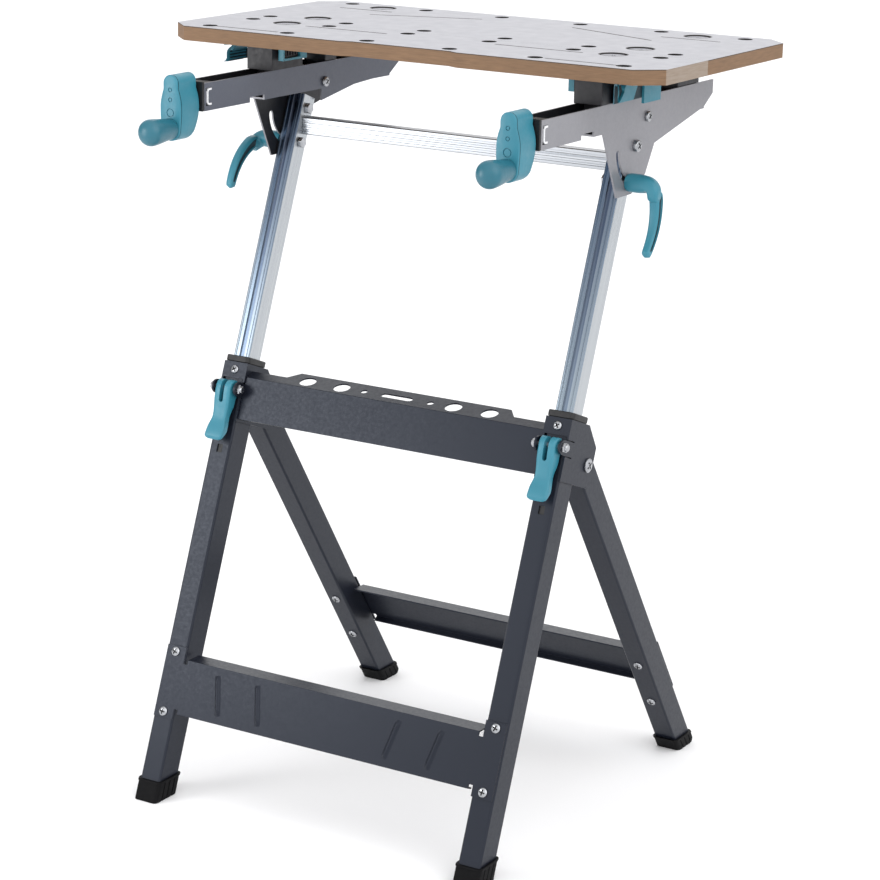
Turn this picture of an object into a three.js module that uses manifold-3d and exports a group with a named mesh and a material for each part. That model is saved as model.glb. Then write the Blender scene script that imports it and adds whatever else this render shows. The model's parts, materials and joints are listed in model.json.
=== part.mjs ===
// Folding workbench: two leaning front legs, a folding rear frame, two posts that slide in the front legs,
// and a tilting table with a fixed rear jaw and a front jaw that two crank spindles drive.
// Millimetres. +X is to the right, +Y to the back and +Z up. The origin is on the floor, under the middle
// of the bench's bounding box.
import * as THREE from 'three';
import { mergeVertices } from 'three/addons/utils/BufferGeometryUtils.js';
import Module from 'manifold-3d';

const wasm = await Module();
wasm.setup();

// Fits
const FIT = 0.3; // gap between pieces that touch, slide or turn on each other
const PAST = 2; // how far a cutter runs past a face, and a joined solid into its neighbour
const ROUND_SIDES = 18; // sides of a round of 8 mm radius or more
const SMALL_ROUND = 8;
const SMALL_SIDES = 10; // sides of a smaller round
const CURVE_STEPS = 4;
const ARC_SLOT_STEPS = 10;
const SOFT_CORNER = 1; // radius of small corners and edges
const FLOOR_CUTTER = 200; // size of the block that trims the feet

// Front legs: heights are measured along the leg from the floor
const LEG_LEAN = 20.5; // degrees, tops to the back
const LEG_SPREAD = 248; // from the middle to the centre line of each leg
const LEG_WIDTH = 32;
const LEG_DEPTH = 40;
const LEG_TOP = 593.5;
const TUBE_WALL = 1.5;
const TUBE_CORNER = 3;
const WINDOW_BELOW_TOP = 118.5;
const WINDOW_WIDTH = 8.5;
const WINDOW_HEIGHT = 11;

// Rear legs
const REAR_LEAN = 34.5; // degrees, tops to the front
const REAR_LEG_DEPTH = 38;
const FOLD_GAP = 4; // between front and rear legs when folded
const REAR_PIVOT_BELOW_TOP = 50;
const PIVOT_RADIUS = 4;
const PIVOT_HEAD_RADIUS = 9;
const PIVOT_HEAD_HEIGHT = 2.5;

// Feet
const FOOT_WALL = 2.5;
const FOOT_SOLE = 9; // under a leg's end, which is cut level
const FRONT_FOOT_HEIGHT = 27;
const REAR_FOOT_HEIGHT = 19;
const FOOT_LIP = 1;
const FOOT_LIP_HEIGHT = 3;
const FOOT_BEVEL = 13; // rear feet only, along the floor
const FOOT_BEVEL_RISE = 9;
const FOOT_RIBS = 3;
const FOOT_RIB_PITCH = 10;
const FOOT_RIB_WIDTH = 2;
const FOOT_RIB_DEPTH = 0.9;

// Hinge brackets round the tops of the front legs
const BRACKET_SHEET = 2.5;
const BRACKET_HEIGHT = 79;
const STRAP_GAP = 4; // between the strap across the leg's front and the slit under it
const BRACKET_REACH = 15.5; // behind the rear pivot
const BRACKET_SLOPE_DROP = 25;
const BRACKET_SLOPE_RUN = 30.5;
const EAR_RADIUS = 9.5;
const SLIT_WIDTH = 1.5;
const SLIT_DEPTH = 18;

// Height clamp: cross pin, clamp stud and lever
const CLAMP_BELOW_TOP = 37;
const CLAMP_FORWARD = 12; // pin axis in front of the leg's front face
const CLAMP_PIN_RADIUS = 4;
const CLAMP_HEAD_RADIUS = 6.5;
const CLAMP_HEAD_HEIGHT = 4;
const CLAMP_EYE = 4.4; // thickness of the eye in the lever's fork
const HEIGHT_LEVER_LENGTH = 72; // from the pin to the tip
const HEIGHT_LEVER_WIDTH = 27.5;
const HEIGHT_LEVER_WAIST = 20.5;
const HEIGHT_LEVER_PADDLE = 28.5;
const HEIGHT_LEVER_CORNER = 5; // radius of the paddle's corners
const HEIGHT_LEVER_FORK = 21;
const HEIGHT_LEVER_BOW = 12; // thickness at the waist
const LEVER_NECK_AT = 0.3; // places along the height lever, as shares of its length
const LEVER_WAIST_AT = 0.55;
const LEVER_FLARE_AT = 0.8;
const LEVER_HEEL_AT = 0.94;

// Guide collars on the leg tops and guide shoes on the posts' lower ends
const COLLAR_FLANGE = 8.5;
const COLLAR_BRIM = 3;
const COLLAR_SLEEVE = 30;
const GUIDE_SIDE = 0.9; // thickness of collars and shoes between post and leg
const GUIDE_FRONT = 3.9;
const SHOE_HEIGHT = 32;
const SHOE_FLOOR = 6;

// Posts and cross profile
const POST_IN_LEG = 122.5;
const POST_SHOWN = 357.5; // from the leg's top to the tilt pivot
const POST_OVER_PIVOT = 17;
const POST_CORNER = 2;
const POST_WALL = 2.5;
const POST_FACE = 5; // front wall, which is grooved
const POST_GROOVE = 7;
const POST_GROOVE_DEPTH = 2.2;
const POST_LINE = 2;
const POST_LINE_DEPTH = 1;
const POST_LINE_OFFSET = 8.5;
const PROFILE_DEPTH = 18;
const PROFILE_GAP = 3; // to the heads of the bolts above and below it
const PROFILE_CORNER = 1.5;
const PROFILE_BACK = 5;
const PROFILE_WALL = 3.5;
const PROFILE_GROOVES = 3;
const PROFILE_GROOVE = 3;
const PROFILE_GROOVE_DEPTH = 1.4;

// Upper tool beam
const UPPER_BEAM_SHEET = 2;
const UPPER_BEAM_HEIGHT = 57.5;
const UPPER_BEAM_BELOW_TOP = 18;
const UPPER_BEAM_LIP = 10;
const UPPER_BEAM_TAB = 24;
const TOOL_SHELF_RISE = 13; // degrees, up to the back
const TOOL_SHELF = 35; // depth of the holed part of the flange
const TOOL_SHELF_END = 18; // depth of the flange at its ends
const TOOL_SHELF_HALF = 162;
const TOOL_SHELF_SLANT = 13;
const TOOL_ROW = 16; // hole centres behind the beam's front face, along the flange
const TOOL_HOLE_RADIUS = 11.7;
const TOOL_HOLES = [86, 140];
const DRIVER_HOLE_RADIUS = 4.8;
const DRIVER_HOLE = 51;
const TOOL_SLOT = 48;
const TOOL_SLOT_WIDTH = 10;

// Lower beams across the front and the rear legs
const LOWER_BEAM_SHEET = 2;
const LOWER_BEAM_HEIGHT = 73.5;
const LOWER_BEAM_UP = 114.5;
const REAR_BEAM_UP = 121;
const LOWER_BEAM_FLANGE = 25;
const LOWER_BEAM_LIP = 10;
const LOWER_TAB_OVER = 16;
const LOWER_TAB_UNDER = 8;
const LOWER_TAB_MARGIN = 1.5; // leg face left bare beside a tab
const LOWER_NOTCH = 6;
const BEAD_RISE = 1.2;
const BEAD_RADIUS = 2.5;
const BEAD_MARGIN = 15; // above and below a bead
const BEAD_FEET = [99, 163];
const BEAD_SLANT = 10;
const BEAM_BOLT_RADIUS = 3;
const BEAM_BOLT_INSET = 8; // from the tabs' ends

// Table: heights and depths are measured from the tilt pivot
const TILT_RANGE = 63; // degrees
const ARM_OVER_POST = 3; // so that the post's corners pass under the channel as the table tilts
const ARM_HEIGHT = 36;
const ARM_SHEET = 2.5;
const ARM_WIDTH = 37; // over both plates
const ARM_PLAY = 1; // between a post and the plate outside it
const ARM_FRONT = -247;
const ARM_BACK = 221;
const NOTCH_FRONT = -146;
const NOTCH_LENGTH = 33;
const NOTCH_HEIGHT = 7;
const EAR_MARGIN = 9.2; // under the arc slot
const EAR_FRONT_MARGIN = 40.5; // in front of the arc slot's centre line, at the channel
const EAR_FOOT_INSET = 1.5; // behind the arc slot's centre line
const EAR_FOOT_LENGTH = 40;
const EAR_BACK = 31;
const EAR_BACK_UP = 21; // above the ear's foot
const HEEL_BACK = 54;
const HEEL_DROP = 28; // below the channel
const SLOT_SLACK = 1; // degrees at each end of the arc slot
const LOBE_FRONT = 23;
const LOBE_DROP = 16;
const LOBE_LENGTH = 81;
const ARM_TAIL = 25; // slanted rear end
const TIE_BACK = 30;
const TIE_UP = 9; // above the channel's bottom
const TIE_RADIUS = 3;
const TIE_HEAD_RADIUS = 5.5;
const TIE_HEAD_HEIGHT = 3.5;
const LATCH_SLOT_WIDTH = 2;
const LATCH_SLOT_HEIGHT = 23;
const LATCH_SLOT_LENGTH = 12;
const LATCH_SLOT_INSET = 3.5;

// Tilt pivot, clamp bolt and lever
const BOLT_RADIUS = 4;
const BOLT_HEAD_RADIUS = 7.5;
const BOLT_HEAD_HEIGHT = 5;
const CLAMP_REACH = 47.5; // from the tilt pivot down the post
const STEM_RADIUS = 11;
const STEM_LENGTH = 46;
const STEM_BORE = 24;
const TILT_LEVER_CHORD = 83; // from the bolt to the centre of the round tip
const TILT_LEVER_BULGE = 12;
const TILT_LEVER_WIDTH = 18;
const TILT_LEVER_TIP = 11;
const TILT_LEVER_THICKNESS = 15;
const TILT_LEVER_EDGE = 3;
const TILT_LEVER_GROOVE = 6;
const TILT_LEVER_GROOVE_DEPTH = 3;
const TILT_LEVER_ANGLES = { left: 48, right: 13 }; // degrees forward of straight down

// Jaw boards
const BOARD_OVERHANG = 118; // outside the arms' centre lines
const BOARD_THICKNESS = 19;
const HOLDER_HEIGHT = 37.2; // from the arms to the boards
const FRONT_JAW_DEPTH = 142;
const REAR_JAW_DEPTH = 252;
const SEAM_GAP = 0.3;
const SEAM_FORWARD = 7.2; // seam in front of the tilt pivot
const FRONT_CORNER_X = 32;
const FRONT_CORNER_Y = 30;
const BACK_CORNER_X = 30;
const BACK_CORNER_Y = 28;
const RECESS_HALF = 72;
const RECESS_DEPTH = 7;
const RECESS_SLOPE = 15;
const DOG_RADIUS = 10;
const DOG_COLUMNS = 6;
const DOG_FRONT_ROWS = [25.3, 124.1]; // behind the front jaw's front edge
const DOG_REAR_ROWS = [22.7, 228.3]; // behind the rear jaw's front edge
const GROOVE_WIDTH = 2.5;
const GROOVE_DEPTH = 2.5;
const GROOVES = [ // jaw, then start and end as x and depth behind that jaw's front edge, on the right-hand side
  ['front', 200, 25.2, 297, 25.2],
  ['front', 83, 104.2, 207, 104.2],
  ['rear', 211, 177.7, 294, 177.7],
  ['rear', 72, 188.7, 216, 133.7],
];
const DISC_RADIUS = 17.3;
const DISC_HEIGHT = 3;
const DISC_GAP = 0.8; // ring between a disc and its board
const DISC_SUNK = 1.6; // below the board's top
const DISC_CROSS = 9; // length of the cross recess
const DISC_CROSS_WIDTH = 2;
const DISC_CROSS_DEPTH = 1.5;
const JAW_BOLT_RADIUS = 4;
const JAW_BOLT_LENGTH = 34;

// Jaw holders, front carriages and release clips
const HOLDER_WIDTH = 36;
const HOLDER_TONGUE = 14; // reach into the channel
const TONGUE_PLAY = 2; // between a tongue and the channel's sides
const MID_HOLDER_LENGTH = 28;
const MID_HOLDER_BACK = 46;
const REAR_HOLDER_LENGTH = 62;
const REAR_HOLDER_BACK = 147;
const TAIL_UNDER_BOLT = 5;
const REAR_BOLT_INSET = 12; // from the end of the holder's tail
const REAR_BOLT_EDGE = 39.3; // in front of the rear jaw's rear edge
const MID_BOLT_FORWARD = 6; // in front of the holder's middle
const CARRIAGE_WIDTH = 40;
const CARRIAGE_LENGTH = 72;
const CARRIAGE_BACK = -62; // its middle
const FRONT_BOLT_INSET = 8; // from the carriage's rear face
const NUT_LENGTH = 40;
const CLIP_SLIDE_INSET = 30; // from the carriage's front face
const CLIP_SLIDE_GAP = 5; // to the jaw bolt behind it
const CLIP_SLIDE_HEIGHT = 14;
const CLIP_SLIDE_UNDER_BOARD = 9;
const CLIP_PLAY = 4.3; // travel to the inner tab
const CLIP_TAB = 8;
const CLIP_TAB_LENGTH = 55;
const CLIP_TAB_HEIGHT = 21;
const CLIP_POCKET = 5; // depth of the tab's pocket
const CLIP_POCKET_RIM = 3;
const CLIP_POCKET_END = 15; // tab left solid behind the pocket
const CLIP_HOOK_REACH = 29;
const CLIP_HOOK_LENGTH = 114;
const CLIP_HOOK_FRONT = -110;
const CLIP_HOOK_SLANT = 40; // how far its front goes back, next to the carriage
const CLIP_HOOK_WALL = 3.5;
const CLIP_HOOK_UNDER_BOARD = 3;
const CLIP_HOOK_HEIGHT = 34;
const CLIP_FIN_RISE = 8; // the front fin's lower edge above the rear fin's
const CLIP_CLEFT = 17; // width at the top
const CLIP_CLEFT_FLARE = 12;
const CLIP_CLEFT_BACK = -42;

// Spindles, cranks and knobs
const SPINDLE_RADIUS = 6;
const SPINDLE_UP = 18.5; // above the channel's bottom
const SPINDLE_END = -6;
const SPINDLE_COLLAR_RADIUS = 9;
const SPINDLE_COLLAR = 4;
const BEARING_FLANGE = 4;
const BEARING_DEPTH = 22;
const BEARING_RISE = 2; // above the arm
const CRANK_BOSS = 2.5;
const CRANK_BOSS_RADIUS = 10;
const CRANK_DEPTH = 41;
const CRANK_BORE = 20;
const CRANK_TOP = 20.5; // centre of the top round above the spindle
const CRANK_TOP_RADIUS = 11;
const CRANK_SHOULDER = 12;
const CRANK_BELLY = 15.8; // half its width, where it is widest
const CRANK_BELLY_DOWN = 10; // below the spindle
const CRANK_THROW = 37;
const CRANK_FOOT_RADIUS = 14;
const CRANK_EDGE = 1.5;
const KNOB_RADIUS = 17;
const KNOB_NECK = 13.5; // radius beside the crank
const KNOB_LENGTH = 56;
const KNOB_DOME = 0.8; // height of the dome as a share of its radius
const KNOB_PIN_RADIUS = 4;
const KNOB_CAP = 16; // solid end of the knob in front of its pin

// Places that follow from the sizes above
const radians = THREE.MathUtils.degToRad;
const lean = radians(LEG_LEAN);
const rearLean = radians(REAR_LEAN);
const legFront = -LEG_DEPTH / 2;
const rearPivotUp = LEG_TOP - REAR_PIVOT_BELOW_TOP;
const rearPivotBack = LEG_DEPTH / 2 + FOLD_GAP + REAR_LEG_DEPTH / 2;
const rearPivotHeight = rearPivotUp * Math.cos(lean) - rearPivotBack * Math.sin(lean);
const rearPivotY = rearPivotUp * Math.sin(lean) + rearPivotBack * Math.cos(lean);
const rearLegLength = rearPivotHeight / Math.cos(rearLean);
const plateInner = LEG_WIDTH / 2 + FIT;
const plateOuter = plateInner + BRACKET_SHEET;
const strapHeight = CLAMP_BELOW_TOP - EAR_RADIUS - SLIT_WIDTH - STRAP_GAP;
const clampUp = LEG_TOP - CLAMP_BELOW_TOP;
const clampBack = legFront - CLAMP_FORWARD;
const leverHub = CLAMP_FORWARD - 3 * FIT;
const postWidth = LEG_WIDTH - 2 * (TUBE_WALL + GUIDE_SIDE + 2 * FIT);
const postDepth = LEG_DEPTH - 2 * (TUBE_WALL + GUIDE_FRONT + 2 * FIT);
const postBottom = LEG_TOP - POST_IN_LEG;
const tiltPivot = LEG_TOP + POST_SHOWN;
const postTop = tiltPivot + POST_OVER_PIVOT;
const profileHeight = CLAMP_REACH * Math.cos(lean) - 2 * (BOLT_HEAD_RADIUS + PROFILE_GAP);
const armFace = postWidth / 2 + ARM_PLAY + ARM_SHEET; // an arm's outer face, from its post's centre
const armSpread = LEG_SPREAD + armFace - ARM_WIDTH / 2;
const armOuter = ARM_WIDTH / 2;
const armInner = armOuter - ARM_SHEET;
const armRise = Math.hypot(POST_OVER_PIVOT, postDepth / 2) + ARM_OVER_POST;
const armTop = armRise + ARM_HEIGHT;
const earFoot = -(CLAMP_REACH + BOLT_RADIUS + FIT + EAR_MARGIN);
const boardBottom = armTop + HOLDER_HEIGHT;
const boardTop = boardBottom + BOARD_THICKNESS;
const boardHalf = armSpread + BOARD_OVERHANG;
const dogPitch = armSpread / 2; // each arm's bolts lie midway between two columns
const frontJawFront = -SEAM_FORWARD - SEAM_GAP / 2 - FRONT_JAW_DEPTH;
const rearJawFront = -SEAM_FORWARD + SEAM_GAP / 2;
const carriageFront = CARRIAGE_BACK - CARRIAGE_LENGTH / 2;
const frontBolt = CARRIAGE_BACK + CARRIAGE_LENGTH / 2 - FRONT_BOLT_INSET;
const midBolt = MID_HOLDER_BACK - MID_BOLT_FORWARD;
const rearHolderEnd = REAR_HOLDER_BACK + REAR_HOLDER_LENGTH / 2;
const discTop = boardTop - DISC_SUNK;
const rearBolt = rearJawFront + REAR_JAW_DEPTH - REAR_BOLT_EDGE;
const rearTail = rearBolt + REAR_BOLT_INSET - rearHolderEnd;
const spindleUp = armRise + SPINDLE_UP;
const bearingFront = ARM_FRONT - FIT - BEARING_FLANGE;
const crankBack = bearingFront - FIT - CRANK_BOSS;
const crankFront = crankBack - CRANK_DEPTH;
const knobPin = KNOB_LENGTH - KNOB_CAP;
const sides = { left: -1, right: 1 };

// Colours of the materials
const looks = {
  teal: { color: 0x4fa0b3, roughness: 0.55, metalness: 0 },
  frame: { color: 0x43464f, roughness: 0.6, metalness: 0.1 },
  arm: { color: 0x6f7179, roughness: 0.5, metalness: 0.4 },
  black: { color: 0x1d1e21, roughness: 0.75, metalness: 0 },
  holder: { color: 0x2c2d32, roughness: 0.7, metalness: 0 },
  disc: { color: 0xb4b4ba, roughness: 0.6, metalness: 0 },
  aluminium: { color: 0xd3d7dc, roughness: 0.35, metalness: 1 },
  zinc: { color: 0xb9bcc0, roughness: 0.4, metalness: 1 },
  board: { color: 0xcbcbd2, roughness: 0.55, metalness: 0 },
};

// Solids
function toSolid(geometry) {
  const bare = geometry.clone();
  bare.deleteAttribute('normal');
  bare.deleteAttribute('uv');
  const merged = mergeVertices(bare);
  return new wasm.Manifold(new wasm.Mesh({
    numProp: 3,
    vertProperties: Float32Array.from(merged.attributes.position.array),
    triVerts: Uint32Array.from(merged.index.array),
  }));
}

function toMesh(solid, look) {
  const { vertProperties, triVerts } = solid.getMesh();
  const geometry = new THREE.BufferGeometry();
  geometry.setAttribute('position', new THREE.BufferAttribute(vertProperties, 3));
  geometry.setIndex(new THREE.BufferAttribute(triVerts, 1));
  const mesh = new THREE.Mesh(geometry.toNonIndexed(), new THREE.MeshStandardMaterial(looks[look]));
  mesh.geometry.computeVertexNormals();
  return mesh;
}

function addPiece(parent, name, solid, look, place = [0, 0, 0], turn = 0) {
  const mesh = toMesh(solid, look);
  mesh.name = name;
  mesh.position.set(...place);
  mesh.rotation.x = turn;
  parent.add(mesh);
}

function addBothSides(parent, name, makeSolid, look, [spread, back, up], turns = { left: 0, right: 0 }) {
  for (const [side, sign] of Object.entries(sides)) {
    const place = [sign * spread, back, up];
    addPiece(parent, `${name}_${side}`, makeSolid(sign), look, place, -radians(turns[side]));
  }
}

function moved(geometry, matrix) {
  return geometry.clone().applyMatrix4(matrix);
}

// Extrudes a flat outline along an axis. The outline is drawn in y and z for the x axis, in x and z for
// the y axis, and in x and y for the z axis.
const drawnIn = {
  x: [new THREE.Vector3(0, 1, 0), new THREE.Vector3(0, 0, 1), new THREE.Vector3(1, 0, 0)],
  y: [new THREE.Vector3(1, 0, 0), new THREE.Vector3(0, 0, 1), new THREE.Vector3(0, -1, 0)],
  z: [new THREE.Vector3(1, 0, 0), new THREE.Vector3(0, 1, 0), new THREE.Vector3(0, 0, 1)],
};

function extruded(outline, axis, start, end, edge = 0) {
  const from = Math.min(start, end);
  const to = Math.max(start, end);
  const geometry = new THREE.ExtrudeGeometry(outline, {
    depth: to - from - 2 * edge,
    bevelEnabled: edge > 0,
    bevelThickness: edge,
    bevelSize: edge,
    bevelOffset: -edge,
    bevelSegments: 1,
  });
  const matrix = new THREE.Matrix4().makeBasis(...drawnIn[axis]);
  const foot = axis === 'y' ? to - edge : from + edge;
  matrix.setPosition(axis === 'x' ? foot : 0, axis === 'y' ? foot : 0, axis === 'z' ? foot : 0);
  return geometry.applyMatrix4(matrix);
}

function prism(outline, axis, start, end, edge) {
  return toSolid(extruded(outline, axis, start, end, edge));
}

function block(x0, x1, y0, y1, z0, z1) {
  const size = [x1 - x0, y1 - y0, z1 - z0].map(Math.abs);
  const geometry = new THREE.BoxGeometry(...size);
  return toSolid(geometry.translate((x0 + x1) / 2, (y0 + y1) / 2, (z0 + z1) / 2));
}

// Outlines are lists of points, with arcs and curves worked out in a few steps.
function polygon(points) {
  const apart = ([u0, v0], [u1, v1]) => Math.hypot(u1 - u0, v1 - v0) > 1e-6;
  const kept = points.filter((point, i) => apart(point, points.at(i - 1)));
  return new THREE.Shape(kept.map(([u, v]) => new THREE.Vector2(u, v)));
}

function sidesOf(radius) {
  return radius < SMALL_ROUND ? SMALL_SIDES : ROUND_SIDES;
}

function stepsOf(radius, turn) {
  return Math.max(2, Math.round(Math.abs(turn) / (2 * Math.PI) * sidesOf(radius)));
}

function arc(u, v, radius, start, end, steps = stepsOf(radius, end - start)) {
  const angles = Array.from({ length: steps + 1 }, (_, i) => start + (end - start) * i / steps);
  return angles.map((angle) => [u + radius * Math.cos(angle), v + radius * Math.sin(angle)]);
}

function curve(start, pull, end) {
  const bend = new THREE.QuadraticBezierCurve(
    new THREE.Vector2(...start), new THREE.Vector2(...pull), new THREE.Vector2(...end),
  );
  return bend.getPoints(CURVE_STEPS).map((point) => [point.x, point.y]);
}

function disc(radius, u = 0, v = 0) {
  return polygon(arc(u, v, radius, 0, 2 * Math.PI));
}

function roundedBox(width, depth, corner, u = 0, v = 0) {
  const w = width / 2 - corner;
  const d = depth / 2 - corner;
  const quarter = Math.PI / 2;
  return polygon([
    ...arc(u + w, v - d, corner, -quarter, 0),
    ...arc(u + w, v + d, corner, 0, quarter),
    ...arc(u - w, v + d, corner, quarter, 2 * quarter),
    ...arc(u - w, v - d, corner, 2 * quarter, 3 * quarter),
  ]);
}

function slot([u0, v0], [u1, v1], radius) {
  const turn = Math.atan2(v1 - v0, u1 - u0);
  const quarter = Math.PI / 2;
  return polygon([
    ...arc(u1, v1, radius, turn - quarter, turn + quarter),
    ...arc(u0, v0, radius, turn + quarter, turn + 3 * quarter),
  ]);
}

function arcSlot(radius, halfWidth, start, end) {
  const at = (angle) => [radius * Math.cos(angle), radius * Math.sin(angle)];
  return polygon([
    ...arc(0, 0, radius + halfWidth, start, end, ARC_SLOT_STEPS),
    ...arc(...at(end), halfWidth, end, end + Math.PI),
    ...arc(0, 0, radius - halfWidth, end, start, ARC_SLOT_STEPS),
    ...arc(...at(start), halfWidth, start - Math.PI, start),
  ]);
}

function hexagon(radius) {
  const corner = (i) => [radius * Math.cos(i * Math.PI / 3), radius * Math.sin(i * Math.PI / 3)];
  return polygon([0, 1, 2, 3, 4, 5].map(corner));
}

function pin(radius, axis, start, end, u = 0, v = 0) {
  return prism(disc(radius, u, v), axis, start, end);
}

// A hole that a pin turns in: its flats clear the pin's corners.
function bore(pinRadius, axis, start, end, u, v) {
  const radius = pinRadius + FIT;
  return pin(radius / Math.cos(Math.PI / sidesOf(radius)), axis, start, end, u, v);
}

// Everything below a level plane at a height above the floor, seen in the frame of a leg that leans by the
// angle. The frame's origin is on the leg's axis, up from the floor along it.
function below(height, angle, up = 0) {
  const geometry = new THREE.BoxGeometry(FLOOR_CUTTER, FLOOR_CUTTER, FLOOR_CUTTER);
  geometry.translate(0, 0, height - FLOOR_CUTTER / 2);
  return toSolid(geometry.rotateX(angle).translate(0, 0, -up));
}

// Legs and feet. A leg's own frame has its axis along z, its front towards -y.
function legTube(depth, bottom, top) {
  const outer = prism(roundedBox(LEG_WIDTH, depth, TUBE_CORNER), 'z', bottom, top);
  const hollow = roundedBox(LEG_WIDTH - 2 * TUBE_WALL, depth - 2 * TUBE_WALL, TUBE_CORNER - TUBE_WALL);
  return outer.subtract(prism(hollow, 'z', bottom - PAST, top + PAST));
}

function frontLeg() {
  const windowUp = LEG_TOP - WINDOW_BELOW_TOP;
  const window = roundedBox(WINDOW_WIDTH, WINDOW_HEIGHT, SOFT_CORNER, 0, windowUp);
  return legTube(LEG_DEPTH, -LEG_DEPTH, LEG_TOP)
    .subtract(below(FOOT_SOLE, lean))
    .subtract(prism(window, 'y', legFront - PAST, legFront + PAST + TUBE_WALL))
    .subtract(pin(CLAMP_PIN_RADIUS + FIT, 'y', legFront - PAST, legFront + PAST + TUBE_WALL, 0, clampUp));
}

function rearLeg() {
  const bottom = -rearLegLength - REAR_LEG_DEPTH;
  const round = REAR_LEG_DEPTH / 2;
  const outline = slot([0, bottom - PAST], [0, 0], round);
  return legTube(REAR_LEG_DEPTH, bottom, round + PAST)
    .intersect(prism(outline, 'x', -LEG_WIDTH, LEG_WIDTH))
    .subtract(below(FOOT_SOLE, -rearLean, rearLegLength))
    .subtract(bore(PIVOT_RADIUS, 'x', -LEG_WIDTH, LEG_WIDTH));
}

// A foot is a boot with a level sole and a level rim.
function foot(depth, angle, rim) {
  const wide = LEG_WIDTH + 2 * FOOT_WALL;
  const deep = depth + 2 * FOOT_WALL;
  const reach = rim + deep;
  const corner = TUBE_CORNER + FOOT_WALL;
  const lip = roundedBox(wide + 2 * FOOT_LIP, deep + 2 * FOOT_LIP, corner + FOOT_LIP);
  const socket = roundedBox(LEG_WIDTH + 2 * FIT, depth + 2 * FIT, TUBE_CORNER + FIT);
  const hollow = prism(socket, 'z', -deep, reach + PAST).subtract(below(FOOT_SOLE - FIT, angle));
  let solid = prism(roundedBox(wide, deep, corner), 'z', -deep, reach);
  for (let i = 0; i < FOOT_RIBS; i += 1) {
    const back = (i - (FOOT_RIBS - 1) / 2) * FOOT_RIB_PITCH;
    for (const sign of [-1, 1]) {
      const face = sign * wide / 2;
      solid = solid.subtract(block(
        face - sign * FOOT_RIB_DEPTH, face + sign * PAST,
        back - FOOT_RIB_WIDTH / 2, back + FOOT_RIB_WIDTH / 2,
        -deep - PAST, reach + PAST,
      ));
    }
  }
  return solid.add(prism(lip, 'z', -deep, reach).subtract(below(rim - FOOT_LIP_HEIGHT, angle)))
    .intersect(below(rim, angle))
    .subtract(hollow)
    .subtract(below(0, angle));
}

function frontFoot() {
  return foot(LEG_DEPTH, lean, FRONT_FOOT_HEIGHT);
}

// A rear foot's rear lower edge is bevelled.
function rearFoot() {
  const whole = foot(REAR_LEG_DEPTH, -rearLean, REAR_FOOT_HEIGHT);
  const back = REAR_LEG_DEPTH / 2 + FOOT_WALL;
  const floorUp = back * Math.tan(rearLean);
  const run = FOOT_BEVEL * Math.cos(rearLean);
  const rise = FOOT_BEVEL * Math.sin(rearLean);
  const bevelTop = FOOT_BEVEL_RISE / Math.cos(rearLean) - floorUp;
  const bevel = polygon([
    [back - run, -floorUp - PAST],
    [back + PAST, -floorUp - PAST],
    [back + PAST, bevelTop],
    [back, bevelTop],
    [back - run, rise - floorUp],
  ]);
  return whole.subtract(prism(bevel, 'x', -LEG_WIDTH, LEG_WIDTH));
}

// Hinge bracket: a sheet bent round the leg's front, with an ear on each side for the clamp's cross pin
function hingeBracket() {
  const top = LEG_TOP;
  const bottom = LEG_TOP - BRACKET_HEIGHT;
  const front = legFront - FIT - BRACKET_SHEET;
  const back = rearPivotBack + BRACKET_REACH;
  const plate = polygon([
    [front, top],
    [front, bottom],
    [back, bottom],
    [back, top - BRACKET_SLOPE_DROP],
    [back - BRACKET_SLOPE_RUN, top],
  ]);
  const ear = slot([clampBack, clampUp], [legFront + EAR_RADIUS, clampUp], EAR_RADIUS);
  const wide = plateOuter + PAST;
  let solid = block(-plateOuter, plateOuter, front, legFront - FIT, top - strapHeight, top);
  for (const sign of [-1, 1]) {
    solid = solid.add(prism(plate, 'x', sign * plateInner, sign * plateOuter));
    solid = solid.add(prism(ear, 'x', sign * plateInner, sign * plateOuter));
  }
  for (const sign of [-1, 1]) {
    const slitUp = clampUp + sign * (EAR_RADIUS + SLIT_WIDTH / 2);
    solid = solid.subtract(block(
      -wide, wide, front - PAST, front + SLIT_DEPTH, slitUp - SLIT_WIDTH / 2, slitUp + SLIT_WIDTH / 2,
    ));
  }
  return solid
    .subtract(pin(PIVOT_RADIUS + FIT, 'x', -wide, wide, rearPivotBack, rearPivotUp))
    .subtract(pin(CLAMP_PIN_RADIUS + FIT, 'x', -wide, wide, clampBack, clampUp));
}

function rearLegPivot() {
  const seat = plateOuter + FIT;
  return pin(PIVOT_RADIUS, 'x', -seat - PAST, seat + PAST)
    .add(pin(PIVOT_HEAD_RADIUS, 'x', seat, seat + PIVOT_HEAD_HEIGHT))
    .add(pin(PIVOT_HEAD_RADIUS, 'x', -seat, -seat - PIVOT_HEAD_HEIGHT));
}

// Height clamp: the cross pin carries an eye whose stud goes through the leg and presses on the post
function heightClampPin() {
  const seat = plateOuter + FIT;
  const studTip = -postDepth / 2 - FIT;
  const eyeHalf = CLAMP_EYE / 2;
  let solid = pin(CLAMP_PIN_RADIUS, 'x', -seat - PAST, seat + PAST)
    .add(block(-eyeHalf, eyeHalf, 0, CLAMP_FORWARD - FIT, -CLAMP_PIN_RADIUS, CLAMP_PIN_RADIUS))
    .add(pin(CLAMP_PIN_RADIUS, 'y', leverHub + FIT, studTip - clampBack));
  for (const sign of [-1, 1]) {
    solid = solid.add(prism(hexagon(CLAMP_HEAD_RADIUS), 'x', sign * seat, sign * (seat + CLAMP_HEAD_HEIGHT)));
  }
  return solid;
}

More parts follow.
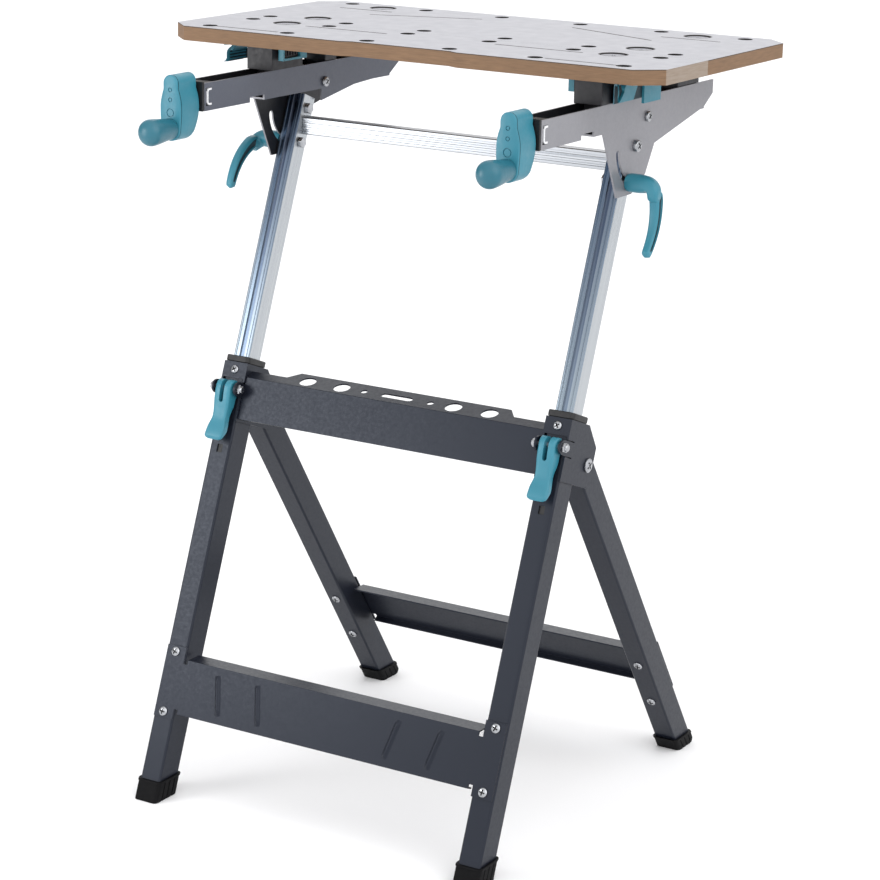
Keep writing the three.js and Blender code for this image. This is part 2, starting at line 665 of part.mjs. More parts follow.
function heightLever() {
  const hub = leverHub;
  const tip = -HEIGHT_LEVER_LENGTH;
  const neckUp = tip * LEVER_NECK_AT;
  const waistUp = tip * LEVER_WAIST_AT;
  const flareUp = tip * LEVER_FLARE_AT;
  const half = HEIGHT_LEVER_WIDTH / 2;
  const waist = HEIGHT_LEVER_WAIST / 2;
  const paddle = HEIGHT_LEVER_PADDLE / 2;
  const bow = HEIGHT_LEVER_BOW / 2;
  const profile = polygon([
    ...arc(0, 0, hub, 0, Math.PI),
    ...curve([-hub, 0], [-hub, neckUp], [-bow, waistUp]),
    ...curve([-bow, waistUp], [-bow, flareUp], [-hub, tip * LEVER_HEEL_AT]),
    [-bow, tip],
    ...curve([-bow, tip], [bow, flareUp], [bow, waistUp]),
    ...curve([bow, waistUp], [bow, neckUp], [hub, 0]),
  ]);
  const round = HEIGHT_LEVER_CORNER;
  const corner = arc(paddle - round, tip + round, round, 0, -Math.PI / 2);
  const edge = (sign) => [
    [sign * half, hub + PAST],
    ...curve([sign * half, neckUp], [sign * waist, (neckUp + waistUp) / 2], [sign * waist, waistUp]),
    ...curve([sign * waist, waistUp], [sign * waist, (waistUp + flareUp) / 2], [sign * paddle, flareUp]),
    ...corner.map(([u, v]) => [sign * u, v]),
  ];
  const outline = polygon([...edge(1), ...edge(-1).reverse()]);
  const fork = CLAMP_EYE / 2 + FIT;
  return prism(profile, 'x', -paddle, paddle)
    .intersect(prism(outline, 'y', -2 * hub, 2 * hub))
    .subtract(prism(slot([0, fork - HEIGHT_LEVER_FORK], [0, 2 * hub], fork), 'y', -2 * hub, 2 * hub))
    .subtract(bore(CLAMP_PIN_RADIUS, 'x', -LEG_WIDTH, LEG_WIDTH));
}

// Collars and shoes that guide the posts
function postOutline(gap) {
  return roundedBox(postWidth + 2 * gap, postDepth + 2 * gap, POST_CORNER + gap);
}

function insideLeg() {
  const shrink = 2 * (TUBE_WALL + FIT);
  return roundedBox(LEG_WIDTH - shrink, LEG_DEPTH - shrink, TUBE_CORNER - TUBE_WALL);
}

function guideCollar() {
  const seat = LEG_TOP + FIT;
  const brim = roundedBox(LEG_WIDTH + 2 * COLLAR_BRIM, LEG_DEPTH + 2 * COLLAR_BRIM, TUBE_CORNER + COLLAR_BRIM);
  const bottom = LEG_TOP - COLLAR_SLEEVE;
  const studHalf = CLAMP_PIN_RADIUS + FIT;
  return prism(brim, 'z', seat, seat + COLLAR_FLANGE, SOFT_CORNER)
    .add(prism(insideLeg(), 'z', bottom, seat + COLLAR_FLANGE / 2))
    .subtract(prism(postOutline(FIT), 'z', bottom - PAST, seat + COLLAR_FLANGE + PAST))
    .subtract(block(-studHalf, studHalf, legFront, 0, clampUp - LEG_DEPTH, clampUp + studHalf));
}

function guideShoe() {
  const floor = postBottom - FIT - SHOE_FLOOR;
  return prism(insideLeg(), 'z', floor, floor + SHOE_HEIGHT)
    .subtract(prism(postOutline(FIT), 'z', postBottom - FIT, floor + SHOE_HEIGHT + PAST));
}

// Posts and the profile between them
function post() {
  const front = -postDepth / 2;
  const hollowDepth = postDepth - POST_FACE - POST_WALL;
  const hollowMiddle = (POST_FACE - POST_WALL) / 2;
  const hollow = roundedBox(postWidth - 2 * POST_WALL, hollowDepth, SOFT_CORNER, 0, hollowMiddle);
  let solid = prism(postOutline(0), 'z', postBottom, postTop)
    .subtract(prism(hollow, 'z', postBottom - PAST, postTop + PAST));
  const grooves = [
    [0, POST_GROOVE, POST_GROOVE_DEPTH],
    [-POST_LINE_OFFSET, POST_LINE, POST_LINE_DEPTH],
    [POST_LINE_OFFSET, POST_LINE, POST_LINE_DEPTH],
  ];
  for (const [middle, width, depth] of grooves) {
    const [left, right] = [middle - width / 2, middle + width / 2];
    solid = solid.subtract(block(left, right, front - PAST, front + depth, postBottom - PAST, postTop + PAST));
  }
  for (const up of [tiltPivot, tiltPivot - CLAMP_REACH]) {
    solid = solid.subtract(pin(BOLT_RADIUS + FIT, 'x', -postWidth, postWidth, 0, up));
  }
  return solid;
}

// The cross profile stands upright, drawn from its own middle.
function crossProfile() {
  const half = LEG_SPREAD - postWidth / 2 - FIT;
  const front = -PROFILE_DEPTH / 2;
  const hollow = roundedBox(PROFILE_DEPTH - 2 * PROFILE_WALL, profileHeight - 2 * PROFILE_WALL, PROFILE_CORNER);
  let solid = prism(roundedBox(PROFILE_DEPTH, profileHeight, PROFILE_CORNER), 'x', -half, half)
    .subtract(prism(hollow, 'x', -half - PAST, half + PAST));
  const pitch = profileHeight / (PROFILE_GROOVES + 1);
  for (let i = 1; i <= PROFILE_GROOVES; i += 1) {
    const up = i * pitch - profileHeight / 2;
    solid = solid.subtract(block(
      -half - PAST, half + PAST, front - PAST, front + PROFILE_GROOVE_DEPTH,
      up - PROFILE_GROOVE / 2, up + PROFILE_GROOVE / 2,
    ));
  }
  return solid;
}

// Upper tool beam: its flange rises a little to the back, whatever the legs' lean
function upperBeam() {
  const half = LEG_SPREAD - plateOuter - FIT;
  const front = legFront;
  const back = front + UPPER_BEAM_SHEET;
  const top = LEG_TOP - UPPER_BEAM_BELOW_TOP;
  const bottom = top - UPPER_BEAM_HEIGHT;
  const shoulder = TOOL_SHELF_HALF + TOOL_SHELF_SLANT;
  const shelf = polygon([
    [-half, 0],
    [half, 0],
    [half, TOOL_SHELF_END],
    [shoulder, TOOL_SHELF_END],
    [TOOL_SHELF_HALF, TOOL_SHELF],
    [-TOOL_SHELF_HALF, TOOL_SHELF],
    [-shoulder, TOOL_SHELF_END],
    [-half, TOOL_SHELF_END],
  ]);
  for (const sign of [-1, 1]) {
    for (const x of TOOL_HOLES) {
      shelf.holes.push(disc(TOOL_HOLE_RADIUS, sign * x, TOOL_ROW));
    }
    shelf.holes.push(disc(DRIVER_HOLE_RADIUS, sign * DRIVER_HOLE, TOOL_ROW));
  }
  const slotEnd = (TOOL_SLOT - TOOL_SLOT_WIDTH) / 2;
  shelf.holes.push(slot([-slotEnd, TOOL_ROW], [slotEnd, TOOL_ROW], TOOL_SLOT_WIDTH / 2));
  const rise = new THREE.Matrix4().makeRotationX(lean + radians(TOOL_SHELF_RISE)).setPosition(0, front, top);
  const flange = toSolid(moved(extruded(shelf, 'z', -UPPER_BEAM_SHEET, 0), rise));
  const tabBack = front + UPPER_BEAM_TAB;
  const bend = top - UPPER_BEAM_SHEET / 4; // the shelf's edge stands a little over the plate's
  let solid = block(-half, half, front, back, bottom, bend)
    .add(flange)
    .add(block(-half, half, front, front + UPPER_BEAM_LIP, bottom, bottom + UPPER_BEAM_SHEET));
  for (const sign of [-1, 1]) {
    const inner = sign * (half - UPPER_BEAM_SHEET);
    solid = solid.add(block(inner, sign * half, front, tabBack, bottom, top - UPPER_BEAM_SHEET));
  }
  return solid;
}

// Lower beam: a pressing whose tabs lie on the legs' faces. It is drawn with its legs behind it, the
// legs' faces at y = 0 and heights from the floor; the flange's angle is measured up from straight back.
function lowerBeam(up, flangeAngle) {
  const outer = -FIT - LOWER_BEAM_SHEET;
  const top = up + LOWER_BEAM_HEIGHT;
  const tabInner = LEG_SPREAD - LEG_WIDTH / 2;
  const tabOuter = LEG_SPREAD + LEG_WIDTH / 2 - LOWER_TAB_MARGIN;
  const tabBottom = up - LOWER_TAB_UNDER;
  const tabTop = top + LOWER_TAB_OVER;
  const webHalf = tabInner - LOWER_NOTCH;
  let solid = block(-tabOuter, tabOuter, outer, -FIT, up + LOWER_NOTCH, top - LOWER_NOTCH)
    .add(block(-webHalf, webHalf, outer, -FIT, up, top))
    .add(block(-webHalf, webHalf, outer, outer + LOWER_BEAM_LIP, up, up + LOWER_BEAM_SHEET));
  const flange = new THREE.BoxGeometry(2 * webHalf, LOWER_BEAM_FLANGE, LOWER_BEAM_SHEET);
  flange.translate(0, LOWER_BEAM_FLANGE / 2, -LOWER_BEAM_SHEET / 2);
  solid = solid.add(toSolid(flange.rotateX(flangeAngle).translate(0, outer, top)));
  for (const sign of [-1, 1]) {
    solid = solid.add(block(sign * tabInner, sign * tabOuter, outer, -FIT, tabBottom, tabTop));
    for (const x of BEAD_FEET) {
      const bead = slot(
        [sign * x, up + BEAD_MARGIN], [sign * (x + BEAD_SLANT), top - BEAD_MARGIN], BEAD_RADIUS,
      );
      solid = solid.add(prism(bead, 'y', outer - BEAD_RISE, -FIT));
    }
    for (const boltUp of [tabBottom + BEAM_BOLT_INSET, tabTop - BEAM_BOLT_INSET]) {
      const hole = pin(BEAM_BOLT_RADIUS + FIT, 'y', outer - PAST, PAST, sign * LEG_SPREAD, boltUp);
      solid = solid.subtract(hole);
    }
  }
  return solid;
}

// Bolts across the arms and posts: drawn along x with the outside of the bench at +x, then set by side
function tiltPivotBolt(sign) {
  const outside = armFace + FIT;
  const inside = -postWidth / 2 - FIT;
  return pin(BOLT_RADIUS, 'x', sign * (inside - PAST), sign * (outside + PAST))
    .add(pin(BOLT_HEAD_RADIUS, 'x', sign * outside, sign * (outside + BOLT_HEAD_HEIGHT)))
    .add(prism(hexagon(BOLT_HEAD_RADIUS), 'x', sign * inside, sign * (inside - BOLT_HEAD_HEIGHT)));
}

function tiltClampBolt(sign) {
  const inside = -postWidth / 2 - FIT;
  const tip = armFace + STEM_BORE;
  return pin(BOLT_RADIUS, 'x', sign * (inside - PAST), sign * tip)
    .add(prism(hexagon(BOLT_HEAD_RADIUS), 'x', sign * inside, sign * (inside - BOLT_HEAD_HEIGHT)));
}

function tieBolt() {
  const seat = armOuter + FIT;
  let solid = pin(TIE_RADIUS, 'x', -seat - PAST, seat + PAST);
  for (const sign of [-1, 1]) {
    solid = solid.add(pin(TIE_HEAD_RADIUS, 'x', sign * seat, sign * (seat + TIE_HEAD_HEIGHT)));
  }
  return solid;
}

// Tilt lever: a stem on the clamp bolt and a bowed handle, drawn hanging straight down from the bolt. Both
// levers are the same piece, so the left one, which is turned about, bows to the front.
function tiltLever(sign) {
  const start = armFace + FIT;
  const end = start + STEM_LENGTH;
  const handleStart = end - TILT_LEVER_THICKNESS;
  const wide = TILT_LEVER_WIDTH / 2;
  const narrow = TILT_LEVER_TIP / 2;
  const tip = -TILT_LEVER_CHORD;
  const bulge = sign * 2 * TILT_LEVER_BULGE;
  const handle = polygon([
    ...curve([-wide, 0], [-wide + bulge, tip / 2], [-narrow, tip]),
    ...arc(0, tip, narrow, Math.PI, 2 * Math.PI),
    ...curve([narrow, tip], [wide + bulge, tip / 2], [wide, 0]),
    ...arc(0, 0, wide, 0, Math.PI),
  ]);
  const groove = TILT_LEVER_GROOVE / 2;
  const grooveTop = -STEM_RADIUS - groove;
  const grooveEnd = tip + TILT_LEVER_TIP / 2;
  const channel = polygon([
    ...curve([-groove, grooveTop], [-groove + bulge, tip / 2], [-groove / 2, grooveEnd]),
    ...curve([groove / 2, grooveEnd], [groove + bulge, tip / 2], [groove, grooveTop]),
  ]);
  const grooveFloor = handleStart + TILT_LEVER_GROOVE_DEPTH;
  return prism(handle, 'x', sign * handleStart, sign * end, TILT_LEVER_EDGE)
    .add(pin(STEM_RADIUS, 'x', sign * start, sign * (end - TILT_LEVER_EDGE)))
    .subtract(prism(channel, 'x', sign * (handleStart - PAST), sign * grooveFloor))
    .subtract(bore(BOLT_RADIUS, 'x', sign * (start - PAST), sign * (start + STEM_BORE)));
}

// Arms: a channel open at the top, whose outer plate has the ear with the arc slot
function arm(sign) {
  const tail = ARM_BACK - ARM_TAIL;
  const notchEnd = NOTCH_FRONT + NOTCH_LENGTH;
  const rise = armRise;
  const earFootFront = EAR_FOOT_INSET - CLAMP_REACH;
  const topEdge = [[ARM_BACK, rise + ARM_HEIGHT / 2], [ARM_BACK, armTop], [ARM_FRONT, armTop]];
  const notch = [
    [ARM_FRONT, rise],
    [NOTCH_FRONT, rise],
    [NOTCH_FRONT, rise + NOTCH_HEIGHT],
    [notchEnd, rise + NOTCH_HEIGHT],
    [notchEnd, rise],
  ];
  const outerPlate = polygon([
    ...notch,
    [-CLAMP_REACH - EAR_FRONT_MARGIN, rise],
    [earFootFront, earFoot],
    [earFootFront + EAR_FOOT_LENGTH, earFoot],
    [EAR_BACK, earFoot + EAR_BACK_UP],
    [HEEL_BACK, rise - HEEL_DROP],
    [tail, rise + ARM_SHEET],
    ...topEdge,
  ]);
  const innerPlate = polygon([
    ...notch,
    [LOBE_FRONT, rise],
    [LOBE_FRONT, rise - LOBE_DROP],
    [LOBE_FRONT + LOBE_LENGTH, rise - ARM_SHEET],
    [tail, rise + ARM_SHEET],
    ...topEdge,
  ]);
  const web = rise + ARM_SHEET;
  const bottom = (front, back) => block(-armOuter, armOuter, front, back, rise, web);
  const slack = radians(SLOT_SLACK);
  const rest = Math.PI + radians(90) - lean;
  const clampSlot = arcSlot(CLAMP_REACH, BOLT_RADIUS + FIT, rest - radians(TILT_RANGE) - slack, rest + slack);
  const wide = armOuter + PAST;
  let solid = prism(outerPlate, 'x', sign * armInner, sign * armOuter)
    .add(prism(innerPlate, 'x', -sign * armInner, -sign * armOuter))
    .add(bottom(ARM_FRONT, NOTCH_FRONT))
    .add(bottom(notchEnd, tail))
    .subtract(prism(clampSlot, 'x', sign * (armInner - PAST), sign * wide))
    .subtract(bore(BOLT_RADIUS, 'x', sign * (armInner - PAST), sign * wide))
    .subtract(pin(TIE_RADIUS + FIT, 'x', -wide, wide, TIE_BACK, rise + TIE_UP));
  const slotFront = ARM_FRONT + LATCH_SLOT_INSET;
  const slotUp = rise + (ARM_HEIGHT - LATCH_SLOT_HEIGHT) / 2;
  const bars = [
    [slotFront, slotFront + LATCH_SLOT_WIDTH, slotUp, slotUp + LATCH_SLOT_HEIGHT],
    [slotFront, slotFront + LATCH_SLOT_LENGTH, slotUp, slotUp + LATCH_SLOT_WIDTH],
    [slotFront, slotFront + LATCH_SLOT_LENGTH,
      slotUp + LATCH_SLOT_HEIGHT - LATCH_SLOT_WIDTH, slotUp + LATCH_SLOT_HEIGHT],
  ];
  for (const [front, back, low, high] of bars) {
    solid = solid.subtract(block(-wide, wide, front, back, low, high));
  }
  return solid;
}

function armEndBearing() {
  const half = armInner - FIT;
  const flangeHalf = armOuter;
  const floor = armRise + ARM_SHEET + FIT;
  const back = ARM_FRONT + BEARING_DEPTH;
  return block(-half, half, bearingFront + PAST, back, floor, armTop)
    .add(block(-flangeHalf, flangeHalf, bearingFront, ARM_FRONT - FIT, armRise, armTop + BEARING_RISE))
    .subtract(bore(SPINDLE_RADIUS, 'y', bearingFront - PAST, back + PAST, 0, spindleUp));
}

// Spindle, crank and knob
function spindle() {
  const collarFront = ARM_FRONT + BEARING_DEPTH + FIT;
  const tip = crankBack - CRANK_BORE + FIT;
  return pin(SPINDLE_RADIUS, 'y', tip, SPINDLE_END, 0, spindleUp)
    .add(pin(SPINDLE_COLLAR_RADIUS, 'y', collarFront, collarFront + SPINDLE_COLLAR, 0, spindleUp));
}

// The crank arm hangs from the spindle's axis, which is its own origin.
function crankArm() {
  const belly = [CRANK_BELLY, -CRANK_BELLY_DOWN];
  const shoulder = [CRANK_TOP_RADIUS, CRANK_SHOULDER];
  const foot = [CRANK_FOOT_RADIUS, -CRANK_THROW];
  const flank = [
    ...curve(foot, [CRANK_BELLY, -(CRANK_THROW + CRANK_BELLY_DOWN) / 2], belly),
    ...curve(belly, [CRANK_BELLY, 0], shoulder),
  ];
  const outline = polygon([
    ...flank,
    ...arc(0, CRANK_TOP, CRANK_TOP_RADIUS, 0, Math.PI),
    ...flank.map(([u, v]) => [-u, v]).reverse(),
    ...arc(0, -CRANK_THROW, CRANK_FOOT_RADIUS, Math.PI, 2 * Math.PI),
  ]);
  return prism(outline, 'y', crankFront, crankBack, CRANK_EDGE)
    .add(pin(CRANK_BOSS_RADIUS, 'y', crankBack - PAST, crankBack + CRANK_BOSS))
    .add(pin(KNOB_PIN_RADIUS, 'y', crankFront - FIT - knobPin, crankFront + PAST, 0, -CRANK_THROW))
    .subtract(pin(SPINDLE_RADIUS + FIT, 'y', crankBack - CRANK_BORE, crankBack + CRANK_BOSS + PAST));
}

// The knob is turned about its own axis, with its flat end against the crank and its dome at the front.
function crankKnob() {
  const dome = KNOB_RADIUS * KNOB_DOME;
  const round = arc(0, 0, 1, 0, Math.PI / 2).map(([u, v]) => [KNOB_RADIUS * u, KNOB_LENGTH - dome + dome * v]);
  const profile = [[0, 0], [KNOB_NECK, 0], ...round.slice(0, -1), [0, KNOB_LENGTH]];
  const turned = new THREE.LatheGeometry(profile.map(([u, v]) => new THREE.Vector2(u, v)), ROUND_SIDES);
  const face = crankFront - FIT;
  const turnForward = new THREE.Matrix4().makeRotationX(Math.PI).setPosition(0, face, -CRANK_THROW);
  return toSolid(moved(turned, turnForward))
    .subtract(bore(KNOB_PIN_RADIUS, 'y', face - knobPin - FIT, face + PAST, 0, -CRANK_THROW));
}

// Jaw boards: x across, y from the tilt pivot, z up
function jawBoard(jaw, outline, front, rows, discs) {
  let solid = prism(polygon(outline), 'z', boardBottom, boardTop);
  for (const row of rows) {
    for (let i = 0; i < DOG_COLUMNS; i += 1) {
      const x = (i - (DOG_COLUMNS - 1) / 2) * dogPitch;
      solid = solid.subtract(pin(DOG_RADIUS, 'z', boardBottom - PAST, boardTop + PAST, x, front + row));
    }
  }
  for (const sign of [-1, 1]) {
    for (const back of discs) {
      const x = sign * armSpread;
      const recessFloor = discTop - DISC_HEIGHT - FIT;
      solid = solid
        .subtract(pin(DISC_RADIUS + DISC_GAP, 'z', recessFloor, boardTop + PAST, x, back))
        .subtract(pin(JAW_BOLT_RADIUS + FIT, 'z', boardBottom - PAST, boardTop, x, back));
    }
    for (const [, x0, y0, x1, y1] of GROOVES.filter(([name]) => name === jaw)) {
      const line = slot([sign * x0, front + y0], [sign * x1, front + y1], GROOVE_WIDTH / 2);
      solid = solid.subtract(prism(line, 'z', boardTop - GROOVE_DEPTH, boardTop + PAST));
    }
  }
  return solid;
}

function frontJaw() {
  const half = boardHalf;
  const front = frontJawFront;
  const back = front + FRONT_JAW_DEPTH;
  const recessEnd = RECESS_HALF + RECESS_SLOPE;
  return jawBoard('front', [
    [-half, back],
    [-half, front + FRONT_CORNER_Y],
    [-half + FRONT_CORNER_X, front],
    [-recessEnd, front],
    [-RECESS_HALF, front + RECESS_DEPTH],
    [RECESS_HALF, front + RECESS_DEPTH],
    [recessEnd, front],
    [half - FRONT_CORNER_X, front],
    [half, front + FRONT_CORNER_Y],
    [half, back],
  ], front, DOG_FRONT_ROWS, [frontBolt]);
}

function rearJaw() {
  const half = boardHalf;
  const front = rearJawFront;
  const back = front + REAR_JAW_DEPTH;
  return jawBoard('rear', [
    [-half, front],
    [half, front],
    [half, back - BACK_CORNER_Y],
    [half - BACK_CORNER_X, back],
    [-half + BACK_CORNER_X, back],
    [-half, back - BACK_CORNER_Y],
  ], front, DOG_REAR_ROWS, [midBolt, rearBolt]);
}

function jawBolt() {
  const head = discTop - DISC_HEIGHT;
  const wing = DISC_CROSS / 2;
  const half = DISC_CROSS_WIDTH / 2;
  const floor = discTop - DISC_CROSS_DEPTH;
  return pin(DISC_RADIUS, 'z', head, discTop)
    .add(pin(JAW_BOLT_RADIUS, 'z', boardTop - JAW_BOLT_LENGTH, head + DISC_HEIGHT / 2))
    .subtract(block(-wing, wing, -half, half, floor, boardTop))
    .subtract(block(-half, half, -wing, wing, floor, boardTop));
}

// A holder stands on an arm with its tongue in the channel and carries a board.
function standOff(back, length, { low = armTop + FIT, width = HOLDER_WIDTH } = {}) {
  const half = width / 2;
  return block(-half, half, back - length / 2, back + length / 2, low, boardBottom - FIT);
}

function jawBoltHole(back) {
  return pin(JAW_BOLT_RADIUS + FIT, 'z', boardTop - JAW_BOLT_LENGTH - FIT, boardTop, 0, back);
}

function holder(back, length) {
  const tongueHalf = armInner - TONGUE_PLAY;
  const front = back - length / 2;
  return standOff(back, length)
    .add(block(-tongueHalf, tongueHalf, front, front + length, armTop - HOLDER_TONGUE, armTop + PAST));
}

function middleHolder() {
  return holder(MID_HOLDER_BACK, MID_HOLDER_LENGTH).subtract(jawBoltHole(midBolt));
}

function rearHolder() {
  const tailMiddle = rearHolderEnd + (rearTail - PAST) / 2;
  const tailBottom = boardTop - JAW_BOLT_LENGTH - TAIL_UNDER_BOLT;
  return holder(REAR_HOLDER_BACK, REAR_HOLDER_LENGTH)
    .add(standOff(tailMiddle, rearTail + PAST, { low: tailBottom }))
    .subtract(jawBoltHole(rearBolt));
}

function clipSlide(gap) {
  const top = boardBottom - CLIP_SLIDE_UNDER_BOARD;
  return {
    front: carriageFront + CLIP_SLIDE_INSET - gap,
    back: frontBolt - JAW_BOLT_RADIUS - CLIP_SLIDE_GAP + gap,
    bottom: top - CLIP_SLIDE_HEIGHT - gap,
    top: top + gap,
  };
}

// The carriage's nut rides on the spindle, and the release clip slides across it.
function frontCarriage() {
  const half = armInner - TONGUE_PLAY;
  const nutLow = armRise + ARM_SHEET + PAST;
  const cut = clipSlide(FIT);
  const nutFront = CARRIAGE_BACK - NUT_LENGTH / 2;
  return standOff(CARRIAGE_BACK, CARRIAGE_LENGTH, { width: CARRIAGE_WIDTH })
    .add(block(-half, half, nutFront, nutFront + NUT_LENGTH, nutLow, armTop + PAST))
    .subtract(bore(SPINDLE_RADIUS, 'y', nutFront - PAST, nutFront + NUT_LENGTH + PAST, 0, spindleUp))
    .subtract(block(-CARRIAGE_WIDTH, CARRIAGE_WIDTH, cut.front, cut.back, cut.bottom, cut.top))
    .subtract(jawBoltHole(frontBolt));
}

// Release clip: a slide through the carriage, a tab with a pocket on its inner end and a finger hook on its
// outer end. A cleft parts the hook's outer wall in two fins.
function releaseClip(sign) {
  const slide = clipSlide(0);
  const outer = CARRIAGE_WIDTH / 2 + FIT;
  const inner = -CARRIAGE_WIDTH / 2 - CLIP_PLAY;
  const front = CLIP_HOOK_FRONT;
  const back = front + CLIP_HOOK_LENGTH;
  const top = boardBottom - CLIP_HOOK_UNDER_BOARD;
  const bottom = top - CLIP_HOOK_HEIGHT;
  const reach = outer + CLIP_HOOK_REACH;
  const wall = CLIP_HOOK_WALL;
  const archRadius = (CLIP_HOOK_REACH - 2 * wall) / 2;
  const archMiddle = outer + CLIP_HOOK_REACH / 2;
  const archUp = top - wall - archRadius;
  const arch = polygon([
    [sign * (archMiddle + archRadius), bottom - PAST],
    ...arc(sign * archMiddle, archUp, archRadius, sign > 0 ? 0 : Math.PI, sign > 0 ? Math.PI : 0),
    [sign * (archMiddle - archRadius), bottom - PAST],
  ]);
  const slant = polygon([
    [sign * (outer - PAST), front - PAST],
    [sign * (reach + PAST), front - PAST],
    [sign * reach, front],
    [sign * outer, front + CLIP_HOOK_SLANT],
    [sign * (outer - PAST), front + CLIP_HOOK_SLANT],
  ]);
  const finBottom = bottom + CLIP_FIN_RISE;
  const cleftTop = top - 2 * wall;
  const cleftFront = CLIP_CLEFT_BACK - CLIP_CLEFT;
  const cleft = polygon([
    [front - PAST, bottom - PAST],
    [CLIP_CLEFT_BACK, bottom - PAST],
    [CLIP_CLEFT_BACK, cleftTop],
    [cleftFront, cleftTop],
    [cleftFront - CLIP_CLEFT_FLARE, finBottom],
    [front - PAST, finBottom],
  ]);
  const tabFront = CARRIAGE_BACK - CLIP_TAB_LENGTH / 2;
  const tabBack = tabFront + CLIP_TAB_LENGTH;
  const tabBottom = top - CLIP_TAB_HEIGHT;
  const tabInner = inner - CLIP_TAB;
  const rim = CLIP_POCKET_RIM;
  const across = (x0, x1, ...rest) => block(sign * x0, sign * x1, ...rest);
  return across(outer, reach, front, back, bottom, top)
    .subtract(prism(arch, 'y', front - PAST, back + PAST))
    .subtract(prism(slant, 'z', bottom - PAST, top + PAST))
    .subtract(prism(cleft, 'x', sign * archMiddle, sign * (reach + PAST)))
    .add(across(inner - PAST, outer + wall / 2, slide.front, slide.back, slide.bottom, slide.top))
    .add(across(tabInner, inner, tabFront, tabBack, tabBottom, top))
    .subtract(across(
      tabInner - PAST, tabInner + CLIP_POCKET,
      tabFront + rim, tabBack - CLIP_POCKET_END, tabBottom + rim, top - rim,
    ));
}

// The bench
const bench = new THREE.Group();

const legFrame = new THREE.Group();
legFrame.rotation.x = -lean;
bench.add(legFrame);

const rearFrame = new THREE.Group();
rearFrame.position.set(0, rearPivotY, rearPivotHeight);
rearFrame.rotation.x = rearLean;
bench.add(rearFrame);

const table = new THREE.Group();
table.position.set(0, tiltPivot * Math.sin(lean), tiltPivot * Math.cos(lean));
bench.add(table);

const onLeg = [LEG_SPREAD, 0, 0];
addBothSides(legFrame, 'front_leg', frontLeg, 'frame', onLeg);
addBothSides(legFrame, 'front_foot', frontFoot, 'black', onLeg);
addBothSides(legFrame, 'hinge_bracket', hingeBracket, 'frame', onLeg);
addBothSides(legFrame, 'rear_leg_pivot', rearLegPivot, 'zinc', [LEG_SPREAD, rearPivotBack, rearPivotUp]);
addBothSides(legFrame, 'guide_collar', guideCollar, 'black', onLeg);
addBothSides(legFrame, 'height_clamp_pin', heightClampPin, 'zinc', [LEG_SPREAD, clampBack, clampUp]);
addBothSides(legFrame, 'height_lever', heightLever, 'teal', [LEG_SPREAD, clampBack, clampUp]);
addPiece(legFrame, 'upper_tool_beam', upperBeam(), 'frame');
addPiece(legFrame, 'lower_front_beam', lowerBeam(LOWER_BEAM_UP, lean), 'frame', [0, legFront, 0]);

addBothSides(rearFrame, 'rear_leg', rearLeg, 'frame', onLeg);
addBothSides(rearFrame, 'rear_foot', rearFoot, 'black', [LEG_SPREAD, 0, -rearLegLength]);
const rearBeam = new THREE.Group();
rearBeam.position.set(0, REAR_LEG_DEPTH / 2, -rearLegLength);
rearBeam.rotation.z = Math.PI;
rearFrame.add(rearBeam);
addPiece(rearBeam, 'lower_rear_beam', lowerBeam(REAR_BEAM_UP, rearLean), 'frame');

addBothSides(legFrame, 'post', post, 'aluminium', onLeg);
addBothSides(legFrame, 'post_guide_shoe', guideShoe, 'black', onLeg);
addBothSides(legFrame, 'tilt_pivot_bolt', tiltPivotBolt, 'zinc', [LEG_SPREAD, 0, tiltPivot]);
addBothSides(legFrame, 'tilt_clamp_bolt', tiltClampBolt, 'zinc', [LEG_SPREAD, 0, tiltPivot - CLAMP_REACH]);
const upright = new THREE.Group();
upright.position.set(0, 0, tiltPivot - CLAMP_REACH / 2);
upright.rotation.x = lean;
legFrame.add(upright);
addPiece(upright, 'cross_profile', crossProfile(), 'aluminium', [0, PROFILE_BACK, 0]);

const clampBolt = [LEG_SPREAD, -CLAMP_REACH * Math.sin(lean), -CLAMP_REACH * Math.cos(lean)];
addBothSides(table, 'tilt_lever', tiltLever, 'teal', clampBolt, TILT_LEVER_ANGLES);

const onArm = [armSpread, 0, 0];
const onSpindle = [armSpread, 0, spindleUp];
addBothSides(table, 'arm', arm, 'arm', onArm);
addBothSides(table, 'arm_end_bearing', armEndBearing, 'black', onArm);
addBothSides(table, 'arm_tie_bolt', tieBolt, 'zinc', [armSpread, TIE_BACK, armRise + TIE_UP]);
addBothSides(table, 'spindle', spindle, 'zinc', onArm);
addBothSides(table, 'crank_arm', crankArm, 'teal', onSpindle);
addBothSides(table, 'crank_knob', crankKnob, 'teal', onSpindle);

addPiece(table, 'front_jaw', frontJaw(), 'board');
addPiece(table, 'rear_jaw', rearJaw(), 'board');
addBothSides(table, 'front_carriage', frontCarriage, 'holder', onArm);
addBothSides(table, 'release_clip', releaseClip, 'teal', onArm);
addBothSides(table, 'middle_jaw_holder', middleHolder, 'holder', onArm);
addBothSides(table, 'rear_jaw_holder', rearHolder, 'holder', onArm);
addBothSides(table, 'front_jaw_bolt', jawBolt, 'disc', [armSpread, frontBolt, 0]);
addBothSides(table, 'middle_jaw_bolt', jawBolt, 'disc', [armSpread, midBolt, 0]);
addBothSides(table, 'rear_jaw_bolt', jawBolt, 'disc', [armSpread, rearBolt, 0]);

// The bench is centred on its own origin, with its feet on the floor.
bench.updateMatrixWorld(true);
const box = new THREE.Box3().setFromObject(bench, true);
bench.position.y = -(box.min.y + box.max.y) / 2;

export default bench;
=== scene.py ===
"""Looks of the folding workbench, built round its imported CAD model."""
import json
import math

import bmesh
import bpy
from mathutils import Matrix, Vector


